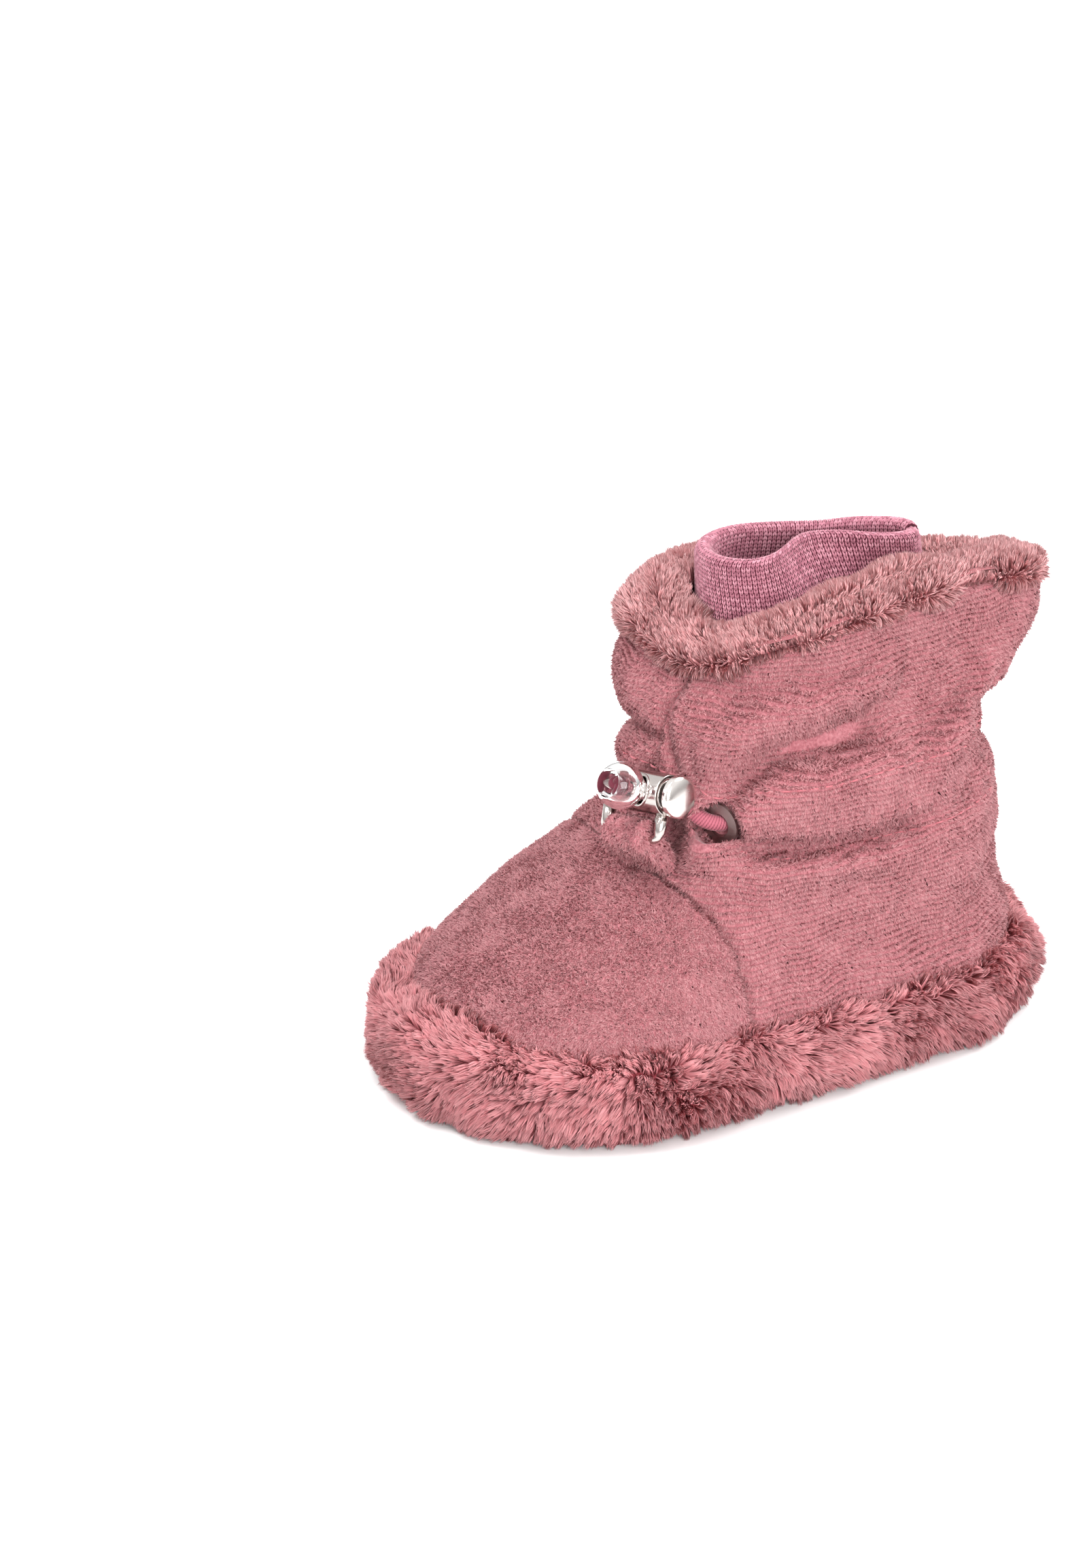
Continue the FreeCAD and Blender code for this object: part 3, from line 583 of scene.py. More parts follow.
def foam_material():
    n = Nodes("foam", Roughness=0.8, Specular_IOR_Level=0.3)
    inputs = {"Vector": n.spot(), "Scale": 1 / (0.5 * MM)}
    cells = n.add("ShaderNodeTexVoronoi", inputs).outputs["Distance"]
    n.link(n.ramp(cells, (0.0, (214, 206, 200)), (0.6, (240, 236, 230))), "Base Color")
    return n.bump(cells, 0.1, 0.6).material


def metal_material(name, colour, roughness):
    """Bright plated metal with faint handling marks."""
    n = Nodes(name, Metallic=1.0, Base_Color=(*linear(*colour), 1))
    smears = n.noise(3, 4, Distortion=0.8)
    n.link(n.ramp(smears, (0.35, roughness), (0.75, roughness * 2.2)), "Roughness")
    return n.bump(n.noise(1.2, 2), 0.01, 0.3).material


def clear_material():
    n = Nodes("clear", Base_Color=(0.93, 0.89, 0.89, 1), IOR=1.46, Transmission_Weight=1.0,
              Specular_IOR_Level=0.6)
    return n.link(n.ramp(n.noise(2, 2), (0.4, 0.02), (0.8, 0.07)), "Roughness").material


def cord_material():
    """Covered elastic: fine crossing ribs, with painted shade in their grooves and painted
    highlight on their crowns.
    """
    n = cloth_shader("cord", 0.75, 0.3)
    # rib depth to colour: painted shade in the grooves, painted highlight on the crowns
    ribs = n.ramp(n.attribute("tone"), (0.1, (84, 28, 42)), (0.75, (188, 108, 122)))
    worn = n.blend("MULTIPLY", n.noise(0.4), 0.3)
    return n.link(n.mix(worn, ribs, linear(160, 84, 98)), "Base Color").material


FLEECE = fleece_material()
# each pile's first colour is painted shade at its roots, its last the lighter tips
NAP = pile_material("nap", (160, 98, 105), (196, 134, 139), (220, 166, 169), 0.6)
PLUSH = pile_material("plush", (146, 58, 65), (216, 138, 143), (240, 178, 181), 0.42)
# lighter copies of the plush and its backing for the collar: painted light on the top of the boot;
# the backing is also painted shade deep in the pile
PLUSH_LIT = pile_material("plush_lit", (168, 84, 90), (234, 166, 168), (250, 204, 204), 0.38)
PLUSH_LIT_GROUND = woven_material("plush_lit_ground", (146, 86, 91), (164, 100, 105))
# backing under the band's pile, darker than the pile: painted shade deep in the pile
PLUSH_SHADE_GROUND = woven_material("plush_shade_ground", (132, 52, 60), (158, 72, 80))
KNIT = knit_material("knit", (124, 66, 82), (182, 120, 135), (220, 166, 178))
# near-black ply under the stitches: painted shade in the holes between stitch legs
KNIT_SHADE_GROUND = woven_material("knit_shade_ground", (72, 30, 42), (96, 46, 60))
THREAD = knit_material("thread", (150, 78, 88), (186, 108, 116), (206, 132, 138))
TAPE = woven_material("casing_tape", (150, 80, 90), (186, 112, 120), 0.5)
BOARD = woven_material("board", (196, 180, 170), (224, 212, 202), 0.9)
OUTSOLE = woven_material("outsole", (150, 84, 92), (190, 122, 128), 1.1)
FOAM = foam_material()
CHROME = metal_material("chrome", (196, 188, 184), 0.12)
BUTTON = metal_material("button_chrome", (230, 224, 220), 0.14)
# nickel for the eyelet, darkened well below bright nickel as painted shade in its pocket
NICKEL_SHADED = metal_material("nickel_shaded", (150, 134, 132), 0.3)
# darker copy of the lock's metal for the bore: painted shade inside the barrel
SHADED = metal_material("lock_inside_painted_shade", (96, 84, 82), 0.35)
STEEL = metal_material("spring_steel", (188, 186, 184), 0.2)
CLEAR = clear_material()
CORD = cord_material()


# ---- pile ----
def scatter(points, faces, count, rng):
    """Random places on a mesh's quads, evenly over its area, with their normals."""
    triangles = np.concatenate([faces[:, :3], faces[:, [0, 2, 3]]])
    a, b, c = (points[triangles[:, i]] for i in range(3))
    cross = np.cross(b - a, c - a)
    area = np.linalg.norm(cross, axis=1)
    chosen = rng.choice(len(triangles), count, p=area / area.sum())
    s, t = rng.random(count), rng.random(count)
    over = s + t > 1
    s[over], t[over] = 1 - s[over], 1 - t[over]
    a, b, c = a[chosen], b[chosen], c[chosen]
    return a + (b - a) * s[:, None] + (c - a) * t[:, None], unit(cross)[chosen]


def clump_of(roots, centres):
    """Number of the nearest clump centre for each root."""
    tree = KDTree(len(centres))
    for number, centre in enumerate(centres):
        tree.insert(centre, number)
    tree.balance()
    return np.array([tree.find(root)[1] for root in roots])


def around_boot(normals):
    return unit(np.cross((0, 0, 1), normals) + 1e-6)


def plush(name, roots, normals, lay, length, width, material, rng, clumps, gather, fan, wave):
    """Tapered blades of pile. They lean along lay, drawn together at their tips in clumps."""
    count = len(roots)
    towards = unit(normals + lay + rng.normal(size=(count, 3)) * fan)
    long = length * (0.75 + 0.5 * rng.random(count))
    tip = roots + towards * long[:, None]
    tone = rng.random(count)
    owner = clump_of(roots, clumps)
    members = np.bincount(owner, minlength=len(clumps))[:, None].clip(1)
    tips = np.stack([np.bincount(owner, tip[:, i], len(clumps)) for i in range(3)], 1) / members
    tips = tips + rng.normal(size=tips.shape) * wave * np.mean(length)
    hold = gather * (0.6 + 0.4 * rng.random(count))[:, None]
    tip = tip * (1 - hold) + tips[owner] * hold
    tone = tone * 0.5 + rng.random(len(clumps))[owner] * 0.5
    middle = (roots + tip) / 2 + normals * (long * 0.14)[:, None]
    flat = unit(np.cross(tip - roots, normals + rng.normal(size=(count, 3)) * 0.5))
    half = flat * (width * (0.7 + 0.6 * rng.random(count)) / 2)[:, None]
    corners = [roots - half, roots + half, middle - half * 0.85, middle + half * 0.85, tip]
    start = np.arange(count)[:, None] * len(corners)
    faces = np.concatenate([start + [0, 1, 3], start + [0, 3, 2], start + [2, 3, 4]])
    soft = unit(normals * 0.75 + unit(tip - roots) * 0.35 + rng.normal(size=(count, 3)) * 0.22)
    # along runs from 0 at the root to 1 at the tip; the material paints shade at the roots from it
    return build(name, np.stack(corners, 1).reshape(-1, 3), faces, material,
                 normals=np.repeat(soft, 5, 0), along=np.tile([0.0, 0.0, 0.55, 0.55, 1.0], count),
                 tone=np.repeat(tone, 5))


def nap(name, roots, normals, lay, length, width, rng):
    """Short pile: one small leaning triangle for each tuft."""
    count = len(roots)
    towards = unit(normals * 0.55 + lay + rng.normal(size=(count, 3)) * 0.4)
    tip = roots + towards * (length * (0.6 + 0.8 * rng.random(count)))[:, None]
    side = unit(np.cross(towards, normals + rng.normal(size=(count, 3)) * 0.35))
    half = side * (width * (0.7 + 0.6 * rng.random(count)) / 2)[:, None]
    points = np.stack([roots - half, roots + half, tip], 1).reshape(-1, 3)
    soft = unit(normals + rng.normal(size=(count, 3)) * 0.16)
    tone = rng.random(count)
    # along runs from 0 at the root to 1 at the tip; the material paints shade at the roots from it
    return build(name, points, np.arange(count * 3).reshape(-1, 3), NAP,
                 normals=np.repeat(soft, 3, 0), along=np.tile([0.0, 0.0, 1.0], count),
                 tone=np.repeat(tone, 3))


# ---- fleece upper: three panels turned in along their seams ----
SHAFT_FROM = 58  # above this the quarters' rows follow the collar's edge
MOST_TUFTS = 190000


def vamp_share(heights, side):
    """u of the vamp's seam at each height, on one side."""
    tries = np.linspace(0, 1, 241)
    found = []
    for height, edge in zip(heights, vamp_edge(heights)):
        y = UPPER_SKIN.at(side * tries, np.full(len(tries), height))[:, 1]
        y = np.maximum.accumulate(y)
        found.append(np.interp(edge, y, tries) if edge > y[0] else 0.0)
    return side * np.array(found)


def between(low_u, high_u, heights, columns):
    """Grids of u and z between two seams, given as u at each height."""
    u = low_u[:, None] + (high_u - low_u)[:, None] * np.linspace(0, 1, columns)
    return u, np.broadcast_to(heights[:, None], u.shape)


def panel(name, low_u, high_u, heights, columns):
    """One panel of fleece. Gives its mesh, the points of its outside and their faces."""
    rows, to_collar = len(heights), heights[-1] > SHAFT_FROM
    u, z = between(low_u, high_u, heights, columns)
    top = along_u(u, COLLAR_EDGE) + TUCK
    if to_collar:
        stretch = (top - SHAFT_FROM) / (heights[-1] - SHAFT_FROM)
        z = np.where(z > SHAFT_FROM, SHAFT_FROM + (z - SHAFT_FROM) * stretch, z)
    outside, normal = upper(u.ravel(), z.ravel())
    steps = np.linalg.norm(np.diff(outside.reshape(rows, columns, 3), axis=1), axis=2)
    reach = np.concatenate([np.zeros((rows, 1)), np.cumsum(steps, 1)], 1)
    edge = np.minimum(reach, reach[:, -1:] - reach)
    width = 1.0 + 0.3 * np.sin(z * 2.1 + 0.7 * np.sin(z * 0.9))
    turned_in = np.exp(-(edge / width) ** 2) * 1.1
    if to_collar:
        turned_in = turned_in + 1.6 * np.exp(-((top - z) / 1.1) ** 2)
    rough = 0.06 * lumps(outside, 1.1, 5)
    outside = outside + normal * (rough - turned_in.ravel())[:, None]
    points = np.concatenate([outside, outside - normal * SHELL])
    piece = build(name, points, solid_faces(rows, columns), FLEECE)
    return place(piece, "boot", "fleece_rose"), outside, grid_faces(rows, columns)


def clear_of_eyelet(roots, radius=3.3):
    away = np.linalg.norm(np.cross(roots - EYELET, EYELET_AXIS), axis=1)
    return (away > radius) | (roots[:, 1] > 10) | (roots[:, 0] < 4)


def add_nap(name, outside, faces, density, length, width, seed, pitch=0.0):
    """Pile over a panel, leaning down; pitch draws it towards level rows, as on knitted ground."""
    rng = np.random.default_rng(seed)
    corner = outside[faces]
    cross = np.cross(corner[:, 2] - corner[:, 0], corner[:, 3] - corner[:, 1])
    area = np.linalg.norm(cross, axis=1).sum() / 2
    roots, normals = scatter(outside, faces, min(int(area * density), MOST_TUFTS), rng)
    keep = clear_of_eyelet(roots)
    roots, normals = roots[keep], normals[keep]
    if pitch:
        wander = 0.5 * lumps(roots, 6, seed)
        rows = (np.round(roots[:, 2] / pitch + wander) - wander) * pitch
        roots[:, 2] += (rows - roots[:, 2]) * 0.92
    drift = np.stack([lumps(roots, 4, seed + k) for k in range(3)], 1)
    lay = np.array([0, 0, -0.9]) + 0.4 * drift
    lay -= normals * np.sum(lay * normals, 1)[:, None]
    place(nap(name, roots, normals, lay, length, width, rng), "boot", "fleece_rose")


def add_upper():
    low = np.linspace(7.5, 38.0, 62)
    piece, *surface = panel("vamp_shell", vamp_share(low, -1), vamp_share(low, 1), low, 250)
    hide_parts("vamp")
    add_nap("vamp_nap", *surface, 30, 0.62, 0.32, 11)
    whole = np.concatenate([low, np.linspace(38.5, 77.5, 84)])
    for side, name in ((1, "quarter_left"), (-1, "quarter_right")):
        seams = (vamp_share(whole, side), np.full(len(whole), float(side)))[::side]
        piece, *surface = panel(f"{name}_shell", *seams, whole, 210)
        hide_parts(name)
        add_nap(f"{name}_nap", *surface, 26, 0.7, 0.35, 12 + side, 0.9)


# ---- plush band round the sole ----
def add_band():
    rng = np.random.default_rng(21)
    u = np.linspace(-1, 1, 520)
    edge = along_u(u, BAND_EDGE)
    meet = UPPER_SKIN.at(u, edge) - UPPER_SKIN.normal(u, edge) * 1.2
    below = UPPER_SKIN.at(u, edge - 0.6) + UPPER_SKIN.normal(u, edge - 0.6) * 0.5
    lift = edge / 14
    rings = ((8.5, 0.6), (6.0, 0.4), (3.4, 1.5), (1.8, 3.8), (1.2, 6.5), (1.8, 9.0 * lift),
             (3.0, 11.9 * lift))
    curves = [raised(outline("bulge", inset, u), z) for inset, z in rings]
    grid = drape([*curves, below, meet], 46)
    grid[..., 1] -= 1.4 * np.exp(-((grid[..., 1] + 64) / 16) ** 2)
    normal = grid_normals(grid)
    base = grid.reshape(-1, 3)
    base = base + normal * (0.7 * lumps(base, 7, 8) - 0.6)[:, None]
    base[:, 2] = np.maximum(base[:, 2], 0.15)
    inner = base - normal * 2.0
    inner[:, 2] = np.maximum(inner[:, 2], 0.1)
    # its cloth is coloured as painted shade between the tufts
    ground = build("plush_band_ground", np.concatenate([base, inner]),
                   solid_faces(*grid.shape[:2]), PLUSH_SHADE_GROUND)
    place(ground, "boot", "plush_rose", "plush_band")
    faces = grid_faces(*grid.shape[:2])
    roots, normals = scatter(base, faces, 190000, rng)
    centres, _ = scatter(base, faces, 3600, rng)
    toe = np.exp(-((roots[:, 1] + 66) / 34) ** 2)
    sweep = (0.55 * lumps(roots, 7, 31) - 0.5 * toe)[:, None] * around_boot(normals)
    lay = sweep + np.array([0, 0, 1.0]) * (0.45 * lumps(roots, 6, 33) - 0.25)[:, None]
    length = 3.5 + 0.6 * lumps(roots, 4, 35)
    length[roots[:, 2] < 2.5] *= 0.6
    length[roots[:, 2] > 12.5] *= 0.8
    heading = np.arctan2(roots[:, 1], roots[:, 0]) + np.pi
    quarter = np.floor(heading / TURN * 3.999).astype(int)
    for part in range(4):
        mine = quarter == part
        piece = plush(f"plush_band_pile_{part}", roots[mine], normals[mine], lay[mine],
                      length[mine], 0.31, PLUSH, np.random.default_rng(40 + part), centres,
                      gather=0.76, fan=0.18, wave=0.15)
        keep_above(piece, 0.05)
        place(piece, "boot", "plush_rose")


def keep_above(piece, height):
    """Presses anything below a height up to it, as the floor does."""
    places = np.empty(len(piece.data.vertices) * 3, np.float32)
    piece.data.vertices.foreach_get("co", places)
    places[2::3] = np.maximum(places[2::3], height * MM)
    piece.data.vertices.foreach_set("co", places)
    piece.data.update()


# ---- plush collar ----
def add_collar():
    rng = np.random.default_rng(51)
    u = np.linspace(-1, 1, 460)
    low, crown, inside = (along_u(u, line) for line in (COLLAR_EDGE, COLLAR_CROWN, COLLAR_INSIDE))
    rise = crown - low

    def off_skin(z, out):
        return UPPER_SKIN.at(u, z) + UPPER_SKIN.normal(u, z) * out

    neck = outline("neck_mid", -0.3, u)
    shoulder = off_skin(low + rise * 0.78, -2.6)
    curves = [off_skin(low + 0.9, -1.4), off_skin(low + 0.4, 0.4), off_skin(low + rise * 0.4, 0.7),
              shoulder]
    for share, drop in ((0.22, 0.0), (0.5, 0.25), (1.0, 1.0)):
        flat = shoulder[:, :2] * (1 - share) + neck * share
        curves.append(raised(flat, crown * (1 - drop) + inside * drop))
    grid = drape(curves, 44)
    normal = grid_normals(grid)
    base = grid.reshape(-1, 3)
    base = base + normal * (0.5 * lumps(base, 6, 52) - 0.3)[:, None]
    # backing coloured as painted shade under the collar's pile, in the lit copy of the plush
    ground = build("plush_collar_ground", np.concatenate([base, base - normal * 1.6]),
                   solid_faces(*grid.shape[:2]), PLUSH_LIT_GROUND)
    place(ground, "boot", "plush_rose", "plush_collar")
    faces = grid_faces(*grid.shape[:2])
    roots, normals = scatter(base, faces, 140000, rng)
    centres, _ = scatter(base, faces, 3000, rng)
    lay = lumps(roots, 6, 53)[:, None] * 0.3 * around_boot(normals) + np.array([0, 0, 0.15])
    length = 2.9 + 0.45 * lumps(roots, 3, 54)
    far, rear = roots[:, 0] < -14, roots[:, 1] >= 22
    for part, mine in enumerate((far, ~far & ~rear, ~far & rear)):
        piece = plush(f"plush_collar_pile_{part}", roots[mine], normals[mine], lay[mine],
                      length[mine], 0.25, PLUSH_LIT, np.random.default_rng(55 + part), centres,
                      gather=0.6, fan=0.1, wave=0.06)
        place(piece, "boot", "plush_rose")


# ---- knitted cuff: two plies and the fold at its top, every stitch a pair of yarn legs ----
COURSE, WALE = 0.78, 0.92  # height and width of a stitch
PLY_GAP = 2.4


def add_cuff():
    rng = np.random.default_rng(61)
    u = np.linspace(-1, 1, 361)
    heights = np.linspace(66, 83.6, 40)
    outside, within = (np.stack([skin.at(u, np.full(len(u), z)) for z in heights])
                       for skin in (Skin(CUFF), Skin(CUFF, PLY_GAP)))
    middle, half = (outside[-1] + within[-1]) / 2, (outside[-1] - within[-1]) / 2
    fold = [middle + half * math.cos(turn) * 1.06 + np.array([0, 0, 1.25 * math.sin(turn)])
            for turn in np.linspace(0, np.pi, 13)[1:-1]]
    grid = np.concatenate([outside, np.stack(fold), within[::-1]])
    share = np.broadcast_to(u, grid.shape[:2])
    high = np.clip((grid[..., 2] - 69) / 14, 0, 1)
    dent = np.exp(-((np.abs(share) - 0.58) / 0.18) ** 2) * high ** 1.3
    grid[..., 0] -= np.where(share > 0, 6.4, -1.6) * dent
    grid[..., 2] += (0.9 * np.sin(share * 4.5 - 1.2) - 0.4) * high
    normal = grid_normals(grid)
    base = grid.reshape(-1, 3)
    base = base + normal * (0.3 * lumps(base, 8, 62))[:, None]
    rows, columns = grid.shape[:2]
    # the ply's cloth is dark as painted shade between the stitches
    ground = build("knit_cuff_ground", base, grid_faces(rows, columns), KNIT_SHADE_GROUND)
    solid = ground.modifiers.new("thickness", "SOLIDIFY")
    solid.thickness, solid.offset = 0.5 * MM, -1
    place(ground, "boot", "jersey_mauve", "knit_cuff")
    surface = base.reshape(rows, columns, 3)
    tables = surface, normal.reshape(rows, columns, 3)
    steps = np.linalg.norm(np.diff(surface, axis=0), axis=2).mean(1)
    down = np.concatenate([[0], np.cumsum(steps)])
    across = np.linalg.norm(np.diff(surface, axis=1), axis=2)[: len(heights)].sum(1).mean()
    wales, courses = int(across / WALE), int(down[-1] / COURSE)

    def at(column, row):
        """Point and normal at fractions of the way round and over the fold."""
        r = np.interp(row, down / down[-1], np.arange(rows))
        c = column % 1 * (columns - 1)
        r0, c0 = np.minimum(r.astype(int), rows - 2), np.minimum(c.astype(int), columns - 2)
        fr, fc = (r - r0)[:, None], (c - c0)[:, None]
        mixed = [(table[r0, c0] * (1 - fc) + table[r0, c0 + 1] * fc) * (1 - fr)
                 + (table[r0 + 1, c0] * (1 - fc) + table[r0 + 1, c0 + 1] * fc) * fr
                 for table in tables]
        return mixed[0], unit(mixed[1])

    wale, course = (axis.ravel() for axis in np.meshgrid(np.arange(wales), np.arange(courses)))
    count = len(wale)
    jitter = rng.normal(size=(count, 2)) * 0.03
    tone = 0.5 + 0.5 * rng.random(count) - 0.25
    points, normals, faces = [], [], []
    for number, side in enumerate((-1, 1)):
        foot = wale + 0.5 + jitter[:, 0]
        start, foot_normal = at((foot + side * 0.07) / wales, (course - 0.1) / courses)
        end, head_normal = at((foot + side * 0.37) / wales,
                              (course + 1.3 + jitter[:, 1]) / courses)
        out, axis = unit(foot_normal + head_normal), end - start
        sideways = unit(np.cross(axis, out))
        middle = (start + end) / 2
        corners = [start + out * 0.05, middle + sideways * 0.19 + out * 0.14, middle + out * 0.36,
                   middle - sideways * 0.19 + out * 0.14, end + out * 0.02]
        points.append(np.stack(corners, 1).reshape(-1, 3))
        ways = [out - unit(axis) * 0.8, sideways, out, -sideways, out + unit(axis) * 0.8]
        soft = np.stack(ways, 1).reshape(-1, 3) * 0.8 + np.repeat(out, 5, 0) * 0.5
        normals.append(unit(soft))
        first = (number * count + np.arange(count))[:, None] * 5
        faces += [first + corner for corner in ([0, 1, 2], [0, 2, 3], [1, 4, 2], [2, 4, 3])]
    stitches = build("knit_cuff_stitches", np.concatenate(points), np.concatenate(faces), KNIT,
                     normals=np.concatenate(normals), tone=np.tile(np.repeat(tone, 5), 2))
    place(stitches, "boot", "jersey_mauve")


# ---- linings and sole ----
def add_linings():
    low = np.linspace(7.6, 38.0, 32)
    whole = np.concatenate([low, np.linspace(38.8, 69.9, 32)])
    columns, thin_gap = 110, SHELL + LINING_GAP
    deep_gap = thin_gap + 4.2 + 0.7  # round the ankle the lining goes inside the cord and casing
    back = np.ones(len(whole))
    for name, levels, low_u, high_u in (
            ("vamp_lining", low, vamp_share(low, -1), vamp_share(low, 1)),
            ("shaft_lining_left", whole, vamp_share(whole, 1), back),
            ("shaft_lining_right", whole, -back, vamp_share(whole, -1))):
        u, z = (axis.ravel() for axis in between(low_u, high_u, levels, columns))
        gap = np.interp(z, [34, 39, 53, 58], [thin_gap, deep_gap, deep_gap, thin_gap])
        plain, normal = UPPER_SKIN.at(u, z), UPPER_SKIN.normal(u, z)
        flat = unit(normal * [1, 1, 0.25])
        outside = plain - flat * gap[:, None] + normal * (0.15 * lumps(plain, 3, 71))[:, None]
        inside = (plain - flat * (gap + LINING)[:, None]
                  + normal * (0.5 * lumps(plain, 2.2, 72))[:, None])
        piece = build(f"{name}_cloth", np.concatenate([outside, inside]),
                      solid_faces(len(levels), columns), FLEECE)
        place(piece, "boot", "lining_plush", name)


def pad(name, inset, low, high, rounding, material, slot, rough=0.0, puff=0.0):
    """Flat pad of the last's outline with rounded edges and a slightly crowned top."""
    count = 240
    u = np.linspace(-1, 1, count + 1)[:-1]
    middle = outline("last", inset, u).mean(0)
    edge = outline("last", inset + rounding, u)
    shares = (0.0, 0.3, 0.6, 0.85)
    curves = [raised(middle + (edge - middle) * share, low) for share in shares]
    for turn in np.linspace(-np.pi / 2, np.pi / 2, 9):
        z = (low + high) / 2 + (high - low) / 2 * math.sin(turn)
        curves.append(raised(outline("last", inset + rounding * (1 - math.cos(turn)), u), z))
    curves += [raised(middle + (edge - middle) * share, high + puff * (1 - share ** 2))
               for share in shares[::-1]]
    points = np.concatenate(curves)
    top = points[:, 2] > (low + high) / 2
    points[:, 2] += np.where(top, rough * lumps(points, 2.4, 81), 0)
    piece = build(name, points, grid_faces(len(curves), count, wrap=True), material)
    return place(piece, "boot", slot, name.rsplit("_", 1)[0])


def add_sole():
    pad("outsole_panel_cloth", 0.1, 0.0, 1.4, 0.5, OUTSOLE, "outsole_fabric")
    pad("midsole_foam_pad", 0.1, 1.5, 6.5, 0.7, FOAM, "midsole_foam")
    pad("insole_board_sheet", 0.1, 6.6, 7.4, 0.2, BOARD, "board_fabric")
    insole = pad("insole_plush_pad", 4.4, 7.5, 10.2, 1.2, FLEECE, "lining_plush", 0.35, 0.3)


# ---- casing and its stitching ----
def add_casing():
    u = np.linspace(-1, 1, 721)
    depth, thickness = 6.15, 0.5
    rows = []
    for z in np.linspace(39.6, 51.4, 24):
        height = np.full(len(u), z)
        flat = unit(UPPER_SKIN.normal(u, height) * [1, 1, 0.2])
        ripple = 0.22 * np.sin(u * 330 + 3 * np.sin(u * 23) + z * 0.2)
        rows.append(UPPER_SKIN.at(u, height) - flat * (depth + ripple)[:, None])
    grid = np.stack(rows)
    flat = unit(grid_normals(grid) * [1, 1, 0.2])
    points = np.concatenate([grid.reshape(-1, 3), grid.reshape(-1, 3) - flat * thickness])
    tape = build("drawcord_casing_tape", points, solid_faces(*grid.shape[:2]), TAPE)
    place(tape, "boot", "casing_fabric", "drawcord_casing")


def add_stitches(name, height, node):
    """Row of lockstitches lying in the pile round the ankle."""
    pitch, long, steps, radius = 2.6, 2.1, 9, 0.2
    u = np.linspace(-0.995, 0.995, 2400)
    line, normal = upper(u, np.full(len(u), height))
    along = running(line)
    arch = np.sin(np.linspace(0, np.pi, steps))[:, None]
    points, faces, count = [], [], 0
    for start in np.arange(0.4, along[-1] - long, pitch):
        s = np.linspace(start, start + long, steps)
        centre, out = sample(line, along, s), sample(normal, along, s)
        x, y, _ = centre[0]
        by_the_tab = node == "casing_stitch_low" and abs(x - 8.2) < 6.5 and y < 0
        if by_the_tab or not clear_of_eyelet(centre, 4.6).all():
            continue
        stitch, sides, _ = tube(centre + out * (arch * 0.3 - 0.1),
                                radius * (0.5 + 0.5 * arch[:, 0]), 7)
        faces.append(sides + count)
        points.append(stitch)
        count += len(stitch)
    piece = build(name, np.concatenate(points), np.concatenate(faces), THREAD,
                  tone=np.full(count, 0.5))
    place(piece, "boot", "thread_rose", node)


# ---- cord lock ----
BARREL_END, BARREL_RADIUS, BORE_RADIUS = 7.05, 3.65, 3.2
FLOOR_X = -6.25  # closed end of the bore
HOLE_X, HOLE_RADIUS = 2.4, 2.6
AXIS = 0.001  # radius of a turned shape's end on its axis


def lathe(profile, around):
    """Turned shape along the lock's X from (x, radius) points."""
    profile = np.asarray(profile, float)
    angle = circle(around)
    points = np.stack([np.broadcast_to(profile[:, :1], (len(profile), around)),
                       profile[:, 1:] * np.cos(angle), profile[:, 1:] * np.sin(angle)], -1)
    return points.reshape(-1, 3), grid_faces(len(profile), around, wrap=True)


def rounded(points, radius, steps=5):
    """Profile with its inner corners rounded to a radius."""
    points = [np.array(p, float) for p in points]
    out = [points[0]]
    for before, corner, after in zip(points, points[1:], points[2:]):
        reach = min(radius, *(np.linalg.norm(p - corner) * 0.45 for p in (before, after)))
        start, end = (corner + unit(p - corner) * reach for p in (before, after))
        for t in np.linspace(0, 1, steps):
            out.append(start * (1 - t) ** 2 + corner * 2 * t * (1 - t) + end * t * t)
    return out + [points[-1]]


def drilled(name, points, faces, material, x):
    """Closed solid given in the lock's frame, with the cord's hole cut along Y at x."""
    piece = build(name, points, faces, material, smooth=False)
    sides = 48
    flat = np.stack([x + HOLE_RADIUS * np.cos(circle(sides)), HOLE_RADIUS * np.sin(circle(sides))])
    ends = [np.stack([flat[0], np.full(sides, y), flat[1]], -1) for y in (-8.0, 8.0)]
    walls = [(k, sides + k, sides + (k + 1) % sides, (k + 1) % sides) for k in range(sides)]
    lids = [tuple(range(sides)), tuple(range(2 * sides - 1, sides - 1, -1))]
    mesh = bpy.data.meshes.new("drill")
    mesh.from_pydata((np.concatenate(ends) * MM).tolist(), [], walls + lids)
    tool = add_object("drill", mesh)
    cut = piece.modifiers.new("hole", "BOOLEAN")
    cut.object, cut.operation, cut.solver = tool, "DIFFERENCE", "EXACT"
    evaluated = piece.evaluated_get(bpy.context.evaluated_depsgraph_get())
    solid = bpy.data.meshes.new_from_object(evaluated)
    piece.modifiers.clear()
    piece.data = solid
    bpy.data.objects.remove(tool)
    return piece


def turn_to_lock(piece):
    """Moves a mesh from the lock's own frame to its place on the boot."""
    matrix = LOCK_TURN.to_4x4()
    matrix.translation = LOCK_AT * MM
    piece.data.transform(matrix)
    for polygon in piece.data.polygons:
        polygon.use_smooth = True
    piece.data.set_sharp_from_angle(angle=0.7)
    return piece


